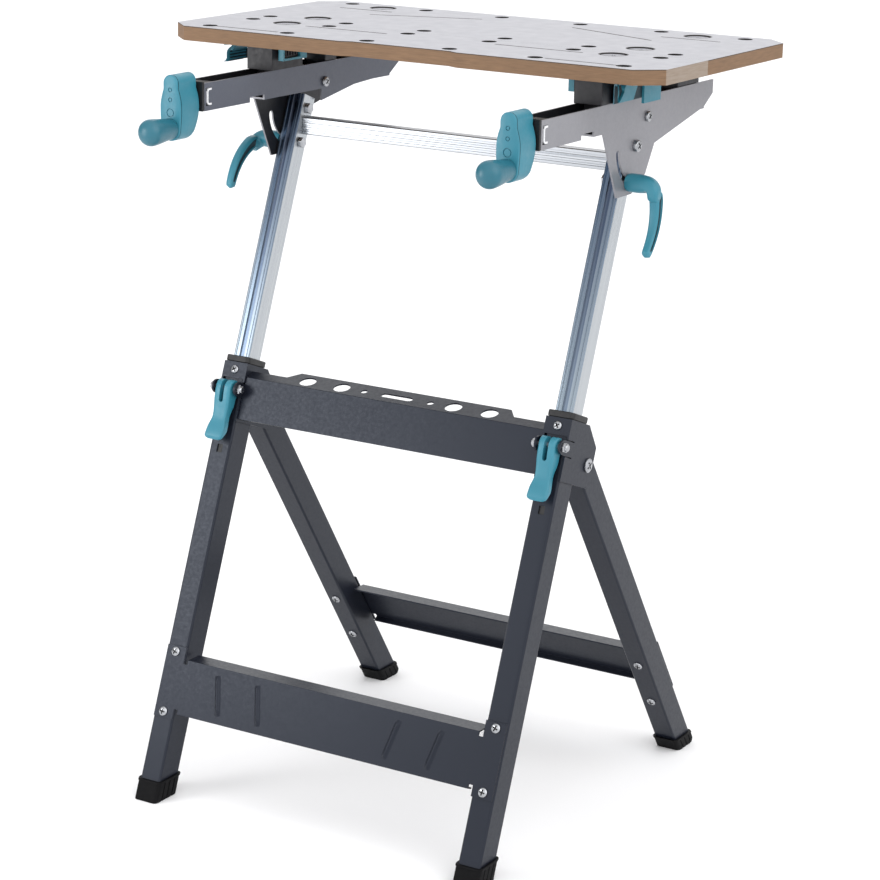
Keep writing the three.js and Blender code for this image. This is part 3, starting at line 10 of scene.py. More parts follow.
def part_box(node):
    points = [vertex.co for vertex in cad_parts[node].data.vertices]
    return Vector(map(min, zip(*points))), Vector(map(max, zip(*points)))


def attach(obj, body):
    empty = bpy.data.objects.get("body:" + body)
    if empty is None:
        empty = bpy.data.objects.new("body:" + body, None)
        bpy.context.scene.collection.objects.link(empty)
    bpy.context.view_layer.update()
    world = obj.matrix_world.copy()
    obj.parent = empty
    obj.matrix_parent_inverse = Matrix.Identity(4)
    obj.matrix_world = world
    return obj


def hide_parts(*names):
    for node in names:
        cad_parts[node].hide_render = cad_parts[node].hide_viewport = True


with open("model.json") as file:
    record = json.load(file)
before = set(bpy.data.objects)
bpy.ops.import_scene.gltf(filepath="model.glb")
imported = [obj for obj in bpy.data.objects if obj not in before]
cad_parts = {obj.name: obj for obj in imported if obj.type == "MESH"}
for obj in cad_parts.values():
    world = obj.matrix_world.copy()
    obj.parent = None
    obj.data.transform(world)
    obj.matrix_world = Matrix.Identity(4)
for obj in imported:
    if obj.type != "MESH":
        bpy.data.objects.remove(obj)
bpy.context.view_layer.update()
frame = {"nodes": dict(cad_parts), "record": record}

nodes = frame["nodes"]
joint_places = {
    joint["name"]: Vector(joint["pos_m"])
    for joint in frame["record"]["behaviour"]["joints"]
    if "pos_m" in joint
}

MM = 0.001
SIDES = {"left": -1, "right": 1}

# Sizes of the CAD model, in millimetres and degrees
LEAN = math.radians(20.5)
REAR_LEAN = math.radians(34.5)
LEG_X = 248
LEG_FOOT_Y = -0.283014
LEG_FACE = 20
REAR_LEG_FACE = 19
BEAM_FACE = 2.3
STRAP_FACE = 22.8
STRAP_SCREW_UP = 583
FRONT_BEAM_SCREWS = (114.5, 196)
REAR_BEAM_SCREWS = (121, 202.5)
FRONT_BEAM_BEADS = (129.5, 173)
REAR_BEAM_BEADS = (136, 179.5)
BEAD_FEET = (99, 163)
BEAD_SLANT = 10
PIVOT_HEAD = 2.5
TILT_HEAD = 5
TIE_HEAD = 3.5
CRANK_DEPTH = 41
CRANK_THROW = 38
CRANK_BOSS = 2.5
CRANK_BOSS_RADIUS = 10
CRANK_BELLY = 15.8
CRANK_BELLY_DOWN = 10
CRANK_FOOT = 14.5
CRANK_TOP = 20.5
CRANK_TOP_RADIUS = 11
CRANK_SHOULDER = 13
CRANK_SEAM = 1.0
KNOB_LENGTH = 54
KNOB_RADIUS = 17
KNOB_NECK = 13.5
SPINDLE_RADIUS = 6
THREAD_PITCH = 4
THREAD_STARTS = 2
THREAD_DEPTH = 0.7
LEVER_ANGLES = {"left": math.radians(48), "right": math.radians(13)}
LEVER_STEM = 16.9
LEVER_HANDLE = 55.3
LEVER_TIP = -91
LEVER_BULGE = 14
ARM_PLATES = (16, 18.5)
LATCH_FRONT = -241.8
LATCH_LENGTH = 9.5
LATCH_BAR = 2.4
LATCH_LOW = 32.2
LATCH_HEIGHT = 21.6
HEIGHT_LEVER_HUB = 11.1
HEIGHT_LEVER_LENGTH = 72
HEIGHT_LEVER_SLOT = 3.2
HEIGHT_LEVER_FORK = 21
TAB_INNER = -32.3
TAB_POCKET = 5
TAB_POCKET_Y = (-86.5, -49.5)
TAB_POCKET_Z = (77.2, 92.2)
TAB_RIBS = 5
ARCH_SIDES = (23.8, 45.8)
ARCH_FRONT = -110
ARCH_BACK = 3
ARCH_LOW = 61.2
ARCH_SPRING = 19.5
ARCH_SLANT = 40
ARCH_CARRIAGE = 20.3
ARCH_REACH = 29
BOARD_HALF = 0.364
ARM_TOP = 0.9518
ARM_X = 0.246
DISC_RADIUS = 17.3
LINES = {
    "front_jaw": ((200, 25.2, 297, 25.2), (83, 104.2, 207, 104.2)),
    "rear_jaw": ((211, 177.7, 294, 177.7), (72, 188.7, 216, 133.7)),
}

leg_frame = Matrix.Translation((0, LEG_FOOT_Y, 0)) @ Matrix.Rotation(-LEAN, 4, "X")
rear_pivot = joint_places["rear_fold"]
rear_frame = Matrix.Translation(rear_pivot) @ Matrix.Rotation(REAR_LEAN, 4, "X")
rear_leg_length = rear_pivot.z / math.cos(REAR_LEAN) / MM
table_place = joint_places["table_tilt"]
board_low, board_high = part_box("rear_jaw")
jaw_low, jaw_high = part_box("front_jaw")


# Materials
def srgb(r, g, b):
    """A colour in 0 to 255, as Blender's linear values."""
    linear = [c / 255 / 12.92 if c <= 10 else ((c / 255 + 0.055) / 1.055) ** 2.4 for c in (r, g, b)]
    return (*linear, 1.0)


def shade(colour, factor):
    return (*[min(1.0, c * factor) for c in colour[:3]], 1.0)


class Shader:
    """A material with short helpers for its nodes."""

    def __init__(self, name, rough, metal=0.0, specular=0.5):
        self.material = bpy.data.materials.new(name)
        self.material.use_nodes = True
        self.tree = self.material.node_tree
        self.bsdf = self.tree.nodes["Principled BSDF"]
        self.bsdf.inputs["Roughness"].default_value = rough
        self.bsdf.inputs["Metallic"].default_value = metal
        self.bsdf.inputs["Specular IOR Level"].default_value = specular
        self.place = self.tree.nodes.new("ShaderNodeTexCoord")

    def link(self, source, target):
        self.tree.links.new(source, target)

    def noise(self, scale, detail=3.0, stretch=(1, 1, 1), turn=0.0):
        """Noise in the piece's own coordinates, turned about X and then stretched."""
        rotate = self.tree.nodes.new("ShaderNodeVectorRotate")
        rotate.rotation_type = "X_AXIS"
        rotate.inputs["Angle"].default_value = turn
        self.link(self.place.outputs["Object"], rotate.inputs["Vector"])
        mapping = self.tree.nodes.new("ShaderNodeMapping")
        mapping.inputs["Scale"].default_value = stretch
        self.link(rotate.outputs["Vector"], mapping.inputs["Vector"])
        noise = self.tree.nodes.new("ShaderNodeTexNoise")
        noise.inputs["Scale"].default_value = scale
        noise.inputs["Detail"].default_value = detail
        self.link(mapping.outputs["Vector"], noise.inputs["Vector"])
        return noise.outputs["Fac"]

    def math(self, kind, first, second=0.0):
        node = self.tree.nodes.new("ShaderNodeMath")
        node.operation = kind
        for socket, value in zip(node.inputs, (first, second)):
            if isinstance(value, (int, float)):
                socket.default_value = value
            else:
                self.link(value, socket)
        return node.outputs["Value"]

    def within(self, value, low, high):
        """1 where a value is between two limits, and 0 elsewhere."""
        return self.math("MULTIPLY", self.math("GREATER_THAN", value, low), self.math("LESS_THAN", value, high))

    def ramp(self, value, start, end, low, high):
        node = self.tree.nodes.new("ShaderNodeMapRange")
        for name, number in (("From Min", start), ("From Max", end), ("To Min", low), ("To Max", high)):
            node.inputs[name].default_value = number
        self.link(value, node.inputs["Value"])
        return node.outputs["Result"]

    def spread(self, value, low, high):
        """The middle of a noise, widened to run from low to high."""
        return self.ramp(value, 0.3, 0.7, low, high)

    def blend(self, factor, first, second):
        node = self.tree.nodes.new("ShaderNodeMix")
        node.data_type = "RGBA"
        self.link(factor, node.inputs["Factor"])
        for name, value in (("A", first), ("B", second)):
            socket = next(s for s in node.inputs if s.name == name and s.type == "RGBA")
            if isinstance(value, tuple):
                socket.default_value = value
            else:
                self.link(value, socket)
        return next(s for s in node.outputs if s.type == "RGBA")

    def colour(self, value):
        self.link(value, self.bsdf.inputs["Base Color"])

    def roughness(self, value):
        self.link(value, self.bsdf.inputs["Roughness"])

    def bump(self, height, strength, distance):
        node = self.tree.nodes.new("ShaderNodeBump")
        node.inputs["Strength"].default_value = strength
        node.inputs["Distance"].default_value = distance
        self.link(height, node.inputs["Height"])
        self.link(node.outputs["Normal"], self.bsdf.inputs["Normal"])

    def axis(self, output, which):
        node = self.tree.nodes.new("ShaderNodeSeparateXYZ")
        self.link(self.place.outputs[output], node.inputs["Vector"])
        return node.outputs[which]


def moulded(name, colour, rough, grain=0.12, vary=0.07, specular=0.5):
    """Moulded plastic: fine grain and slightly uneven colour and gloss."""
    s = Shader(name, rough, specular=specular)
    s.colour(s.blend(s.spread(s.noise(22, 4), 0, 1), shade(colour, 1 - vary), shade(colour, 1 + vary)))
    s.roughness(s.spread(s.noise(160, 4), rough - 0.07, rough + 0.07))
    s.bump(s.noise(2600, 2), grain, 0.0002)
    return s.material


def powder(s, colour, peel, rough):
    """Powder coat on a shader: orange peel, a little sparkle and broad changes of tone. Gives its colour."""
    flake = s.spread(s.noise(3800, 1), 0, 0.22)
    tone = s.blend(s.spread(s.noise(9, 3), 0, 1), shade(colour, 0.93), shade(colour, 1.07))
    s.roughness(s.spread(s.noise(240, 3), rough - 0.06, rough + 0.06))
    s.bump(s.noise(900, 3), peel, 0.0003)
    return s.blend(flake, tone, shade(colour, 1.5))


def coated(name, colour, rough):
    s = Shader(name, rough, specular=0.33)
    s.bsdf.inputs["Specular Tint"].default_value = (0.82, 0.88, 1.0, 1.0)
    s.colour(powder(s, colour, 0.14, rough))
    return s.material


def arm_coat(name, colour, dark, inner, rough):
    """Grey metallic coat with painted shade: darker on the faces toward the bench's middle and darkest inside the
    channels.
    """
    s = Shader(name, rough, metal=0.4)
    outside = powder(s, colour, 0.08, rough)
    across = s.axis("Object", "X")
    outward = s.math("MULTIPLY", across, s.axis("Normal", "X"))
    # painted shade: faces turned toward the bench's middle take the darker colour
    plates_with_painted_shade = s.blend(s.math("LESS_THAN", outward, -0.1), outside, dark)
    # painted shade: the walls and floor inside each arm's channel take the darkest colour
    beside = s.math("SUBTRACT", s.math("ABSOLUTE", across), ARM_X)
    shaded_channel_walls = s.math("LESS_THAN", s.math("MULTIPLY", beside, outward), -0.002)
    floor = s.math("MULTIPLY", s.math("GREATER_THAN", s.axis("Normal", "Z"), 0.5),
                   s.math("LESS_THAN", s.axis("Object", "Z"), ARM_TOP - 0.004))
    s.colour(s.blend(s.math("MAXIMUM", shaded_channel_walls, floor), plates_with_painted_shade, inner))
    return s.material


def plated(name, colour, rough):
    """Zinc plate: bright, with a faint cloudy change of colour."""
    s = Shader(name, rough, metal=1.0)
    s.colour(s.blend(s.spread(s.noise(130, 4), 0, 1), shade(colour, 0.75), shade(colour, 1.08)))
    s.roughness(s.spread(s.noise(500, 3), rough - 0.1, rough + 0.12))
    s.bump(s.noise(1800, 2), 0.05, 0.0001)
    return s.material


def post_metal(name):
    """Drawn aluminium: die lines along the post, and a painted bluish reflection on its front face, deepest in the
    groove and high up.
    """
    s = Shader(name, 0.3, metal=1.0)
    lines = s.spread(s.noise(260, 4, (1, 1, 0.006), LEAN), 0, 1)
    sides = s.blend(lines, srgb(168, 173, 178), srgb(190, 194, 197))
    # painted reflection: the front face is bluish, darker blue higher up and darkest in its groove
    height = s.ramp(s.axis("Object", "Z"), 0.55, 0.88, 0, 1)
    face = s.blend(height, srgb(126, 138, 149), srgb(40, 66, 96))
    groove = s.blend(height, srgb(84, 101, 122), srgb(20, 40, 72))
    across = s.math("ABSOLUTE", s.math("SUBTRACT", s.math("ABSOLUTE", s.axis("Object", "X")), LEG_X * MM))
    front = s.blend(s.math("LESS_THAN", across, 0.0037), face, groove)
    streaked = s.blend(s.math("MULTIPLY", lines, 0.25), front, sides)
    s.colour(s.blend(s.math("LESS_THAN", s.axis("Normal", "Y"), -0.5), sides, streaked))
    s.roughness(s.ramp(lines, 0, 1, 0.2, 0.38))
    s.bump(lines, 0.05, 0.0001)
    return s.material


def profile_metal(name):
    """Drawn aluminium with die lines across the bench and painted shade on its top."""
    s = Shader(name, 0.3, metal=1.0)
    lines = s.spread(s.noise(300, 4, (0.006, 1, 1)), 0, 1)
    front = s.blend(lines, srgb(150, 154, 160), srgb(182, 185, 189))
    # painted shade: faces turned up take a darker grey
    upward = s.math("GREATER_THAN", s.axis("Normal", "Z"), 0.5)
    s.colour(s.blend(upward, front, srgb(126, 130, 137)))
    s.roughness(s.ramp(lines, 0, 1, 0.2, 0.38))
    s.bump(lines, 0.05, 0.0001)
    return s.material


def fibreboard(name):
    """Fibreboard: brown edges with pressed layers, painted shade in holes and grooves, darker along the top arris,
    and a pale grey coat on the top face only."""
    s = Shader(name, 0.55)
    fibre = s.noise(420, 5, (0.12, 0.12, 1.5))
    layer = s.noise(30, 2, (0.6, 0.6, 22))
    brown = s.blend(s.spread(fibre, 0, 1), srgb(106, 81, 58), srgb(130, 102, 77))
    edge = s.blend(s.spread(layer, 0, 0.5), brown, srgb(124, 95, 69))
    height = s.axis("Object", "Z")
    arris = s.math("GREATER_THAN", height, board_high.z - 0.0012)
    edge = s.blend(arris, edge, srgb(72, 58, 48))
    # painted shade: faces inside the holes and grooves, away from the board's rim, take a near-black brown
    across = s.math("LESS_THAN", s.math("ABSOLUTE", s.axis("Object", "X")), BOARD_HALF - 0.034)
    along = s.within(s.axis("Object", "Y"), jaw_low.y + 0.009, board_high.y - 0.003)
    upper = s.math("GREATER_THAN", height, board_low.z + 0.0008)
    inside = s.math("MULTIPLY", s.math("MULTIPLY", across, along), upper)
    edge = s.blend(inside, edge, srgb(34, 30, 29))
    end = s.math("MULTIPLY", s.math("GREATER_THAN", s.math("ABSOLUTE", s.axis("Object", "X")), BOARD_HALF - 0.001),
                 s.math("LESS_THAN", s.axis("Object", "Y"), board_low.y - 0.0002))
    edge = s.blend(s.math("MULTIPLY", end, s.spread(fibre, 0.6, 1)), edge, srgb(146, 134, 122))
    speck = s.spread(s.noise(1500, 2), 0, 0.3)
    coat = s.blend(speck, srgb(155, 155, 162), srgb(140, 140, 149))
    coat = s.blend(s.spread(s.noise(14, 3), 0, 0.25), coat, srgb(163, 163, 170))
    top = s.math("MULTIPLY", s.math("GREATER_THAN", s.axis("Normal", "Z"), 0.5),
                 s.math("GREATER_THAN", height, board_high.z - 0.0006))
    s.colour(s.blend(top, edge, coat))
    s.roughness(s.math("SUBTRACT", s.spread(fibre, 0.68, 0.78), s.math("MULTIPLY", top, 0.3)))
    s.bump(s.math("ADD", fibre, speck), 0.08, 0.0003)
    return s.material


materials = {
    "teal_plastic": moulded("teal_moulding", srgb(44, 120, 139), 0.42),
    "teal_grip": moulded("teal_grip", srgb(33, 98, 115), 0.36),
    "frame_paint": coated("anthracite_coat", srgb(22, 25, 34), 0.36),
    # the two darker arm colours are painted shade, on the inward faces and inside the channels
    "arm_paint": arm_coat("grey_metallic_coat", srgb(132, 132, 137), srgb(88, 92, 103), srgb(32, 33, 37), 0.4),
    "black_plastic": moulded("black_moulding", srgb(13, 13, 16), 0.5),
    "holder_plastic": moulded("dark_moulding", srgb(28, 28, 34), 0.52),
    "foot_rubber": moulded("foot_rubber", srgb(7, 7, 9), 0.6, grain=0.3, vary=0.15, specular=0.12),
    "aluminium": post_metal("drawn_post"),
    "zinc": plated("zinc_plate", srgb(176, 178, 182), 0.22),
    # painted glint: a near-white matte colour standing in for the zinc latch tabs' shine
    "bright": moulded("painted_glint_white", srgb(226, 227, 230), 0.35),
    "board": fibreboard("coated_fibreboard"),
    "disc_plastic": moulded("grey_disc", srgb(147, 147, 154), 0.5),
    "profile": profile_metal("drawn_profile"),
    # painted shade for the crank's seam groove, the tilt lever grooves and the clips' arches
    "teal_shadow": moulded("painted_teal_shade", srgb(12, 42, 52), 0.6),
    # painted shade for the board's grooves and for the gaps round its discs
    "line": moulded("painted_groove_shade", srgb(52, 48, 47), 0.6),
    # painted shade for the screws' cross recesses
    "recess": moulded("painted_recess_shade", srgb(14, 14, 16), 0.6),
}


# Meshes, from sizes in millimetres
def new_piece(name, mesh, material, angle=38):
    """A piece with smooth rounds and sharp edges where its faces meet at more than an angle."""
    piece = bpy.data.objects.new(name, mesh)
    bpy.context.collection.objects.link(piece)
    if not mesh.materials:
        mesh.materials.append(materials[material])
    mesh.polygons.foreach_set("use_smooth", [True] * len(mesh.polygons))
    mesh.set_sharp_from_angle(angle=math.radians(angle))
    return piece


def put(piece, place, body, slot, *replaced):
    piece.matrix_world = place
    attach(piece, body)
    if replaced:
        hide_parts(*replaced)
    return piece


def mesh_of(bm, name):
    bmesh.ops.recalc_face_normals(bm, faces=bm.faces)
    mesh = bpy.data.meshes.new(name)
    bm.to_mesh(mesh)
    bm.free()
    return mesh


def skin(rings, name):
    """Joins rings of points, each as long as the first, and closes both ends."""
    bm = bmesh.new()
    rows = [[bm.verts.new(Vector(point) * MM) for point in ring] for ring in rings]
    count = len(rows[0])
    for low, high in zip(rows, rows[1:]):
        for i in range(count):
            j = (i + 1) % count
            bm.faces.new((low[i], low[j], high[j], high[i]))
    bm.faces.new(list(reversed(rows[0])))
    bm.faces.new(rows[-1])
    return mesh_of(bm, name)


def circle(radius, height, steps):
    turns = [2 * math.pi * i / steps for i in range(steps)]
    return [(radius * math.cos(t), radius * math.sin(t), height) for t in turns]


def lathe(profile, name, steps=48):
    """Turns (radius, height) pairs about Z. The profile starts and ends on the axis."""
    least = 0.02
    return skin([circle(max(radius, least), height, steps) for radius, height in profile], name)


def arc(u, v, radius, start, end, steps):
    turns = [start + (end - start) * i / steps for i in range(steps + 1)]
    return [(u + radius * math.cos(t), v + radius * math.sin(t)) for t in turns]


def curve(first, pull, last, steps):
    """Points of a quadratic curve."""
    points = []
    for i in range(steps + 1):
        t = i / steps
        shares = ((1 - t) ** 2, 2 * t * (1 - t), t * t)
        points.append(tuple(sum(w * p[k] for w, p in zip(shares, (first, pull, last))) for k in range(2)))
    return points


def inset(outline, distance):
    """A closed counter-clockwise outline, moved inward."""
    moved = []
    for i, point in enumerate(outline):
        before, after = outline[i - 1], outline[(i + 1) % len(outline)]
        first = Vector((point[1] - before[1], before[0] - point[0])).normalized()
        second = Vector((after[1] - point[1], point[0] - after[0])).normalized()
        out = (first + second).normalized()
        reach = distance / max(0.5, out.dot(first))
        moved.append((point[0] - out.x * reach, point[1] - out.y * reach))
    return moved


def rounded_plate(outline, start, end, edge, name, steps=4):
    """An outline in x and z, pushed along y from start to end, with rounded edges."""
    rings = []
    for i in range(steps + 1):
        turn = math.pi / 2 * i / steps
        rings.append((edge * (1 - math.sin(turn)), start + edge * (1 - math.cos(turn))))
    for i in range(steps, -1, -1):
        turn = math.pi / 2 * i / steps
        rings.append((edge * (1 - math.sin(turn)), end - edge * (1 - math.cos(turn))))
    return skin([[(u, y, v) for u, v in inset(outline, depth)] for depth, y in rings], name)


def prism(outline, start, end, name):
    """An outline in x and y, pushed along z."""
    return skin([[(u, v, height) for u, v in outline] for height in (start, end)], name)


def cut(mesh, cutter):
    """A mesh with another taken out of it."""
    piece = bpy.data.objects.new("cut", mesh)
    tool = bpy.data.objects.new("tool", cutter)
    for thing in (piece, tool):
        bpy.context.collection.objects.link(thing)
    boolean = piece.modifiers.new("boolean", "BOOLEAN")
    boolean.operation = "DIFFERENCE"
    boolean.object = tool
    boolean.solver = "EXACT"
    made = bpy.data.meshes.new_from_object(piece.evaluated_get(bpy.context.evaluated_depsgraph_get()))
    for thing in (piece, tool):
        bpy.data.objects.remove(thing)
    return made


def facing(point, direction, spin=0.0):
    """A place whose Z points along a direction."""
    turned = Vector(direction).to_track_quat("Z", "Y").to_matrix().to_4x4()
    return Matrix.Translation(point) @ turned @ Matrix.Rotation(spin, 4, "Z")


# CAD nodes that keep their shape get rounded edges and a material
def dress(node, material, edge):
    piece = nodes[node]
    for place in piece.material_slots:
        place.material = materials[material]
    soften(piece, edge)


def soften(piece, edge):
    weld = piece.modifiers.new("weld", "WELD")
    weld.merge_threshold = 0.00002
    flat = piece.modifiers.new("flat", "DECIMATE")
    flat.decimate_type = "DISSOLVE"
    flat.angle_limit = math.radians(1)
    bevel = piece.modifiers.new("edges", "BEVEL")
    bevel.width = edge * MM
    bevel.segments = 2
    bevel.limit_method = "ANGLE"
    bevel.angle_limit = math.radians(40)
    normals = piece.modifiers.new("normals", "WEIGHTED_NORMAL")
    normals.weight = 80
    piece.data.polygons.foreach_set("use_smooth", [True] * len(piece.data.polygons))


PAIRED = {
    "front_leg": ("frame_paint", 0.5),
    "rear_leg": ("frame_paint", 0.5),
    "hinge_bracket": ("frame_paint", 0.5),
    "front_foot": ("foot_rubber", 1.0),
    "rear_foot": ("foot_rubber", 1.0),
    "guide_collar": ("black_plastic", 0.6),
    "post_guide_shoe": ("black_plastic", 0.5),
    "rear_leg_pivot": ("zinc", 0.5),
    "height_clamp_pin": ("zinc", 0.5),
    "post": ("aluminium", 0.3),
    "tilt_pivot_bolt": ("zinc", 0.5),
    "tilt_clamp_bolt": ("zinc", 0.5),
    "arm": ("arm_paint", 0.5),
    "arm_end_bearing": ("black_plastic", 0.8),
    "arm_tie_bolt": ("zinc", 0.4),
    "front_carriage": ("holder_plastic", 1.2),
    "middle_jaw_holder": ("holder_plastic", 1.2),
    "rear_jaw_holder": ("holder_plastic", 1.2),
    "front_jaw_bolt": ("disc_plastic", 0.4),
    "middle_jaw_bolt": ("disc_plastic", 0.4),
    "rear_jaw_bolt": ("disc_plastic", 0.4),
}
SINGLE = {
    "upper_tool_beam": ("frame_paint", 0.5),
    "lower_front_beam": ("frame_paint", 0.5),
    "lower_rear_beam": ("frame_paint", 0.5),
    "cross_profile": ("profile", 0.3),
    "front_jaw": ("board", 0.5),
    "rear_jaw": ("board", 0.5),
}
for stem, look in PAIRED.items():
    for side in SIDES:
        dress(f"{stem}_{side}", *look)
for node, look in SINGLE.items():
    dress(node, *look)


# Painted shade on the boards: dark strips in the grooves and dark rings in the gaps round the recessed discs
def gap_ring_shade_mesh(inner, outer, low, high, steps=56):
    bm = bmesh.new()
    rows = []
    for radius, height in ((inner, low), (outer, low), (outer, high), (inner, high)):
        rows.append([bm.verts.new(Vector(point) * MM) for point in circle(radius, height, steps)])
    for first, second in zip(rows, [*rows[1:], rows[0]]):
        for i in range(steps):
            j = (i + 1) % steps
            bm.faces.new((first[i], first[j], second[j], second[i]))
    return mesh_of(bm, "ring")


def groove_shade_mesh(start, end, half, low, high):
    way = math.atan2(end[1] - start[1], end[0] - start[0])
    quarter = math.pi / 2
    outline = [
        *arc(*end, half, way - quarter, way + quarter, 8),
        *arc(*start, half, way + quarter, way + 3 * quarter, 8),
    ]
    return prism(outline, low, high, "line")


LINE_SUNK = 1.2
LINE_PROUD = 0.1
# dark strips of painted shade, sunk into each groove and standing just proud of the top
for node, body in (("front_jaw", "front_jaw_body"), ("rear_jaw", "table")):
    low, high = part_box(node)
    for i, (x0, y0, x1, y1) in enumerate(LINES[node]):
        for side, sign in SIDES.items():
            mesh = groove_shade_mesh((sign * x0, y0), (sign * x1, y1), 1.9, -LINE_SUNK, LINE_PROUD)
            piece = new_piece(f"{node}_line_{i + 1}_{side}", mesh, "line")
            put(piece, Matrix.Translation((0, low.y, high.z)), body, "board")
# dark rings of painted shade in the gap round each recessed disc
for stem, body in (("front_jaw", "front_jaw_body"), ("middle_jaw", "table"), ("rear_jaw", "table")):
    for side in SIDES:
        low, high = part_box(f"{stem}_bolt_{side}")
        mesh = gap_ring_shade_mesh(DISC_RADIUS + 0.1, DISC_RADIUS + 1.7, -LINE_SUNK, LINE_PROUD)
        piece = new_piece(f"{stem}_disc_gap_shade_{side}", mesh, "line")
        place = Matrix.Translation(((low.x + high.x) / 2, (low.y + high.y) / 2, board_high.z))
        put(piece, place, body, "board")


# Screw heads
def screw_head(radius, wall, dome):
    """A pan head with a cross recess painted dark as shade, standing on its seat and facing +Z."""
    rim = 0.06 * radius
    rise = [(radius * math.cos(t), wall + dome * math.sin(t)) for t in (0.35, 0.7, 1.05, 1.35)]
    top = wall + dome
    mesh = lathe([(0, 0), (radius - rim, 0), (radius, rim), (radius, wall), *rise, (0, top)], "screw", 36)
    wing, half = radius * 0.62, radius * 0.15
    corners = [(wing, -half), (wing, half), (half, half), (half, wing)]
    cross = [*corners]
    for _ in range(3):
        corners = [(-v, u) for u, v in corners]
        cross += corners[1:]
    floor = top - max(0.9, 0.32 * radius)
    head = cut(mesh, prism(cross[:-1], floor, top + 2, "cross"))
    head.materials.append(materials["zinc"])
    head.materials.append(materials["recess"])
    # painted shade: the walls and floor of the cross recess take the near-black material
    reach = wing * 1.02 * MM
    for face in head.polygons:
        inside = math.hypot(face.center.x, face.center.y) < reach and face.center.z > 0.5 * floor * MM
        if inside and (abs(face.normal.z) < 0.3 or face.center.z < (floor + 0.05) * MM):
            face.material_index = 1
    return head


def add_screw(name, mesh, place, body):
    return put(new_piece(name, mesh, "zinc"), place, body, "zinc")


def add_caps(name, node, head, mesh, axis, body, ends):
    """Heads over both ends of a cross bolt, or over its outer end alone."""
    low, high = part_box(node)
    sign = 1 if low.x + high.x > 0 else -1
    for end in ends:
        way = sign if end == "outer" else -sign
        seat = (high.x if way > 0 else low.x) - way * head * MM
        add_screw(f"{name}_{end}", mesh, facing((seat, axis.y, axis.z), (way, 0, 0), 0.5), body)


beam_screw = screw_head(6.4, 1.0, 2.2)
strap_screw = screw_head(5.8, 0.9, 2.0)
pivot_screw = screw_head(9.2, 2.0, 1.6)
tilt_screw = screw_head(7.7, 4.6, 1.8)
tie_screw = screw_head(6.8, 3.2, 1.6)
stud_end = lathe([(0, 0), (4.9, 0), (4.9, 1.6), (3.9, 2.6), (0, 2.6)], "stud_end", 30)

forward = leg_frame.to_3x3() @ Vector((0, -1, 0))
rear_forward = rear_frame.to_3x3() @ Vector((0, -1, 0))
for side, sign in SIDES.items():
    for row, up in zip(("low", "high"), FRONT_BEAM_SCREWS):
        point = leg_frame @ (Vector((sign * LEG_X, -LEG_FACE - BEAM_FACE, up)) * MM)
        add_screw(f"front_beam_screw_{row}_{side}", beam_screw, facing(point, forward, up), "base")
    point = leg_frame @ (Vector((sign * LEG_X, -STRAP_FACE, STRAP_SCREW_UP)) * MM)
    add_screw(f"strap_screw_{side}", strap_screw, facing(point, forward, 0.6), "base")
    for row, up in zip(("low", "high"), REAR_BEAM_SCREWS):
        height = up - rear_leg_length
        point = rear_frame @ (Vector((sign * LEG_X, -REAR_LEG_FACE, height)) * MM)
        add_screw(f"rear_beam_screw_{row}_{side}", beam_screw, facing(point, rear_forward, up), "rear_frame")
        point = rear_frame @ (Vector((sign * LEG_X, REAR_LEG_FACE + BEAM_FACE, height)) * MM)
        add_screw(f"rear_beam_nut_{row}_{side}", beam_screw, facing(point, -rear_forward, 0.2), "rear_frame")
    both = ("outer", "inner")
    add_caps(f"rear_pivot_head_{side}", f"rear_leg_pivot_{side}", PIVOT_HEAD, pivot_screw, rear_pivot, "base", both)
    clamp = joint_places[f"height_lever_{side}_swing"]
    add_caps(f"height_clamp_stud_{side}", f"height_clamp_pin_{side}", 0, stud_end, clamp, "base", both)
    add_caps(f"tilt_pivot_head_{side}", f"tilt_pivot_bolt_{side}", TILT_HEAD, tilt_screw, table_place,
             "post_frame", ("outer",))
    low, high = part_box(f"arm_tie_bolt_{side}")
    add_caps(f"arm_tie_head_{side}", f"arm_tie_bolt_{side}", TIE_HEAD, tie_screw, (low + high) / 2, "table", both)


# Pressed beads on the lower beams
def bead_mesh(foot, head, half=4.6, rise=2.8, along=16, across=8):
    """A soft ridge from foot to head, drawn in x and z and rising toward -y, on a thin base."""
    run = Vector((head[0] - foot[0], head[1] - foot[1]))
    length = run.length
    run.normalize()
    side = Vector((run.y, -run.x))
    bm = bmesh.new()
    rows = []
    for i in range(along + 1):
        s = -half + (length + 2 * half) * i / along
        edge = min(1.0, min(s + half, length + half - s) / (1.6 * half))
        row = []
        for j in range(across + 1):
            c = half * (2 * j / across - 1)
            height = rise * math.sin(math.pi / 2 * edge) * (0.5 + 0.5 * math.cos(math.pi * c / half))
            place = Vector(foot) + run * s + side * c
            row.append(bm.verts.new(Vector((place.x, -height, place.y)) * MM))
        rows.append(row)
    for low, high in zip(rows, rows[1:]):
        for j in range(across):
            bm.faces.new((low[j], low[j + 1], high[j + 1], high[j]))
    rim = [*rows[0], *[row[-1] for row in rows[1:]], *reversed(rows[-1][:-1]), *[row[0] for row in rows[-2:0:-1]]]
    base = [bm.verts.new(v.co + Vector((0, 0.3 * MM, 0))) for v in rim]
    for i in range(len(rim)):
        j = (i + 1) % len(rim)
        bm.faces.new((rim[i], rim[j], base[j], base[i]))
    bm.faces.new(base)
    return mesh_of(bm, "bead")


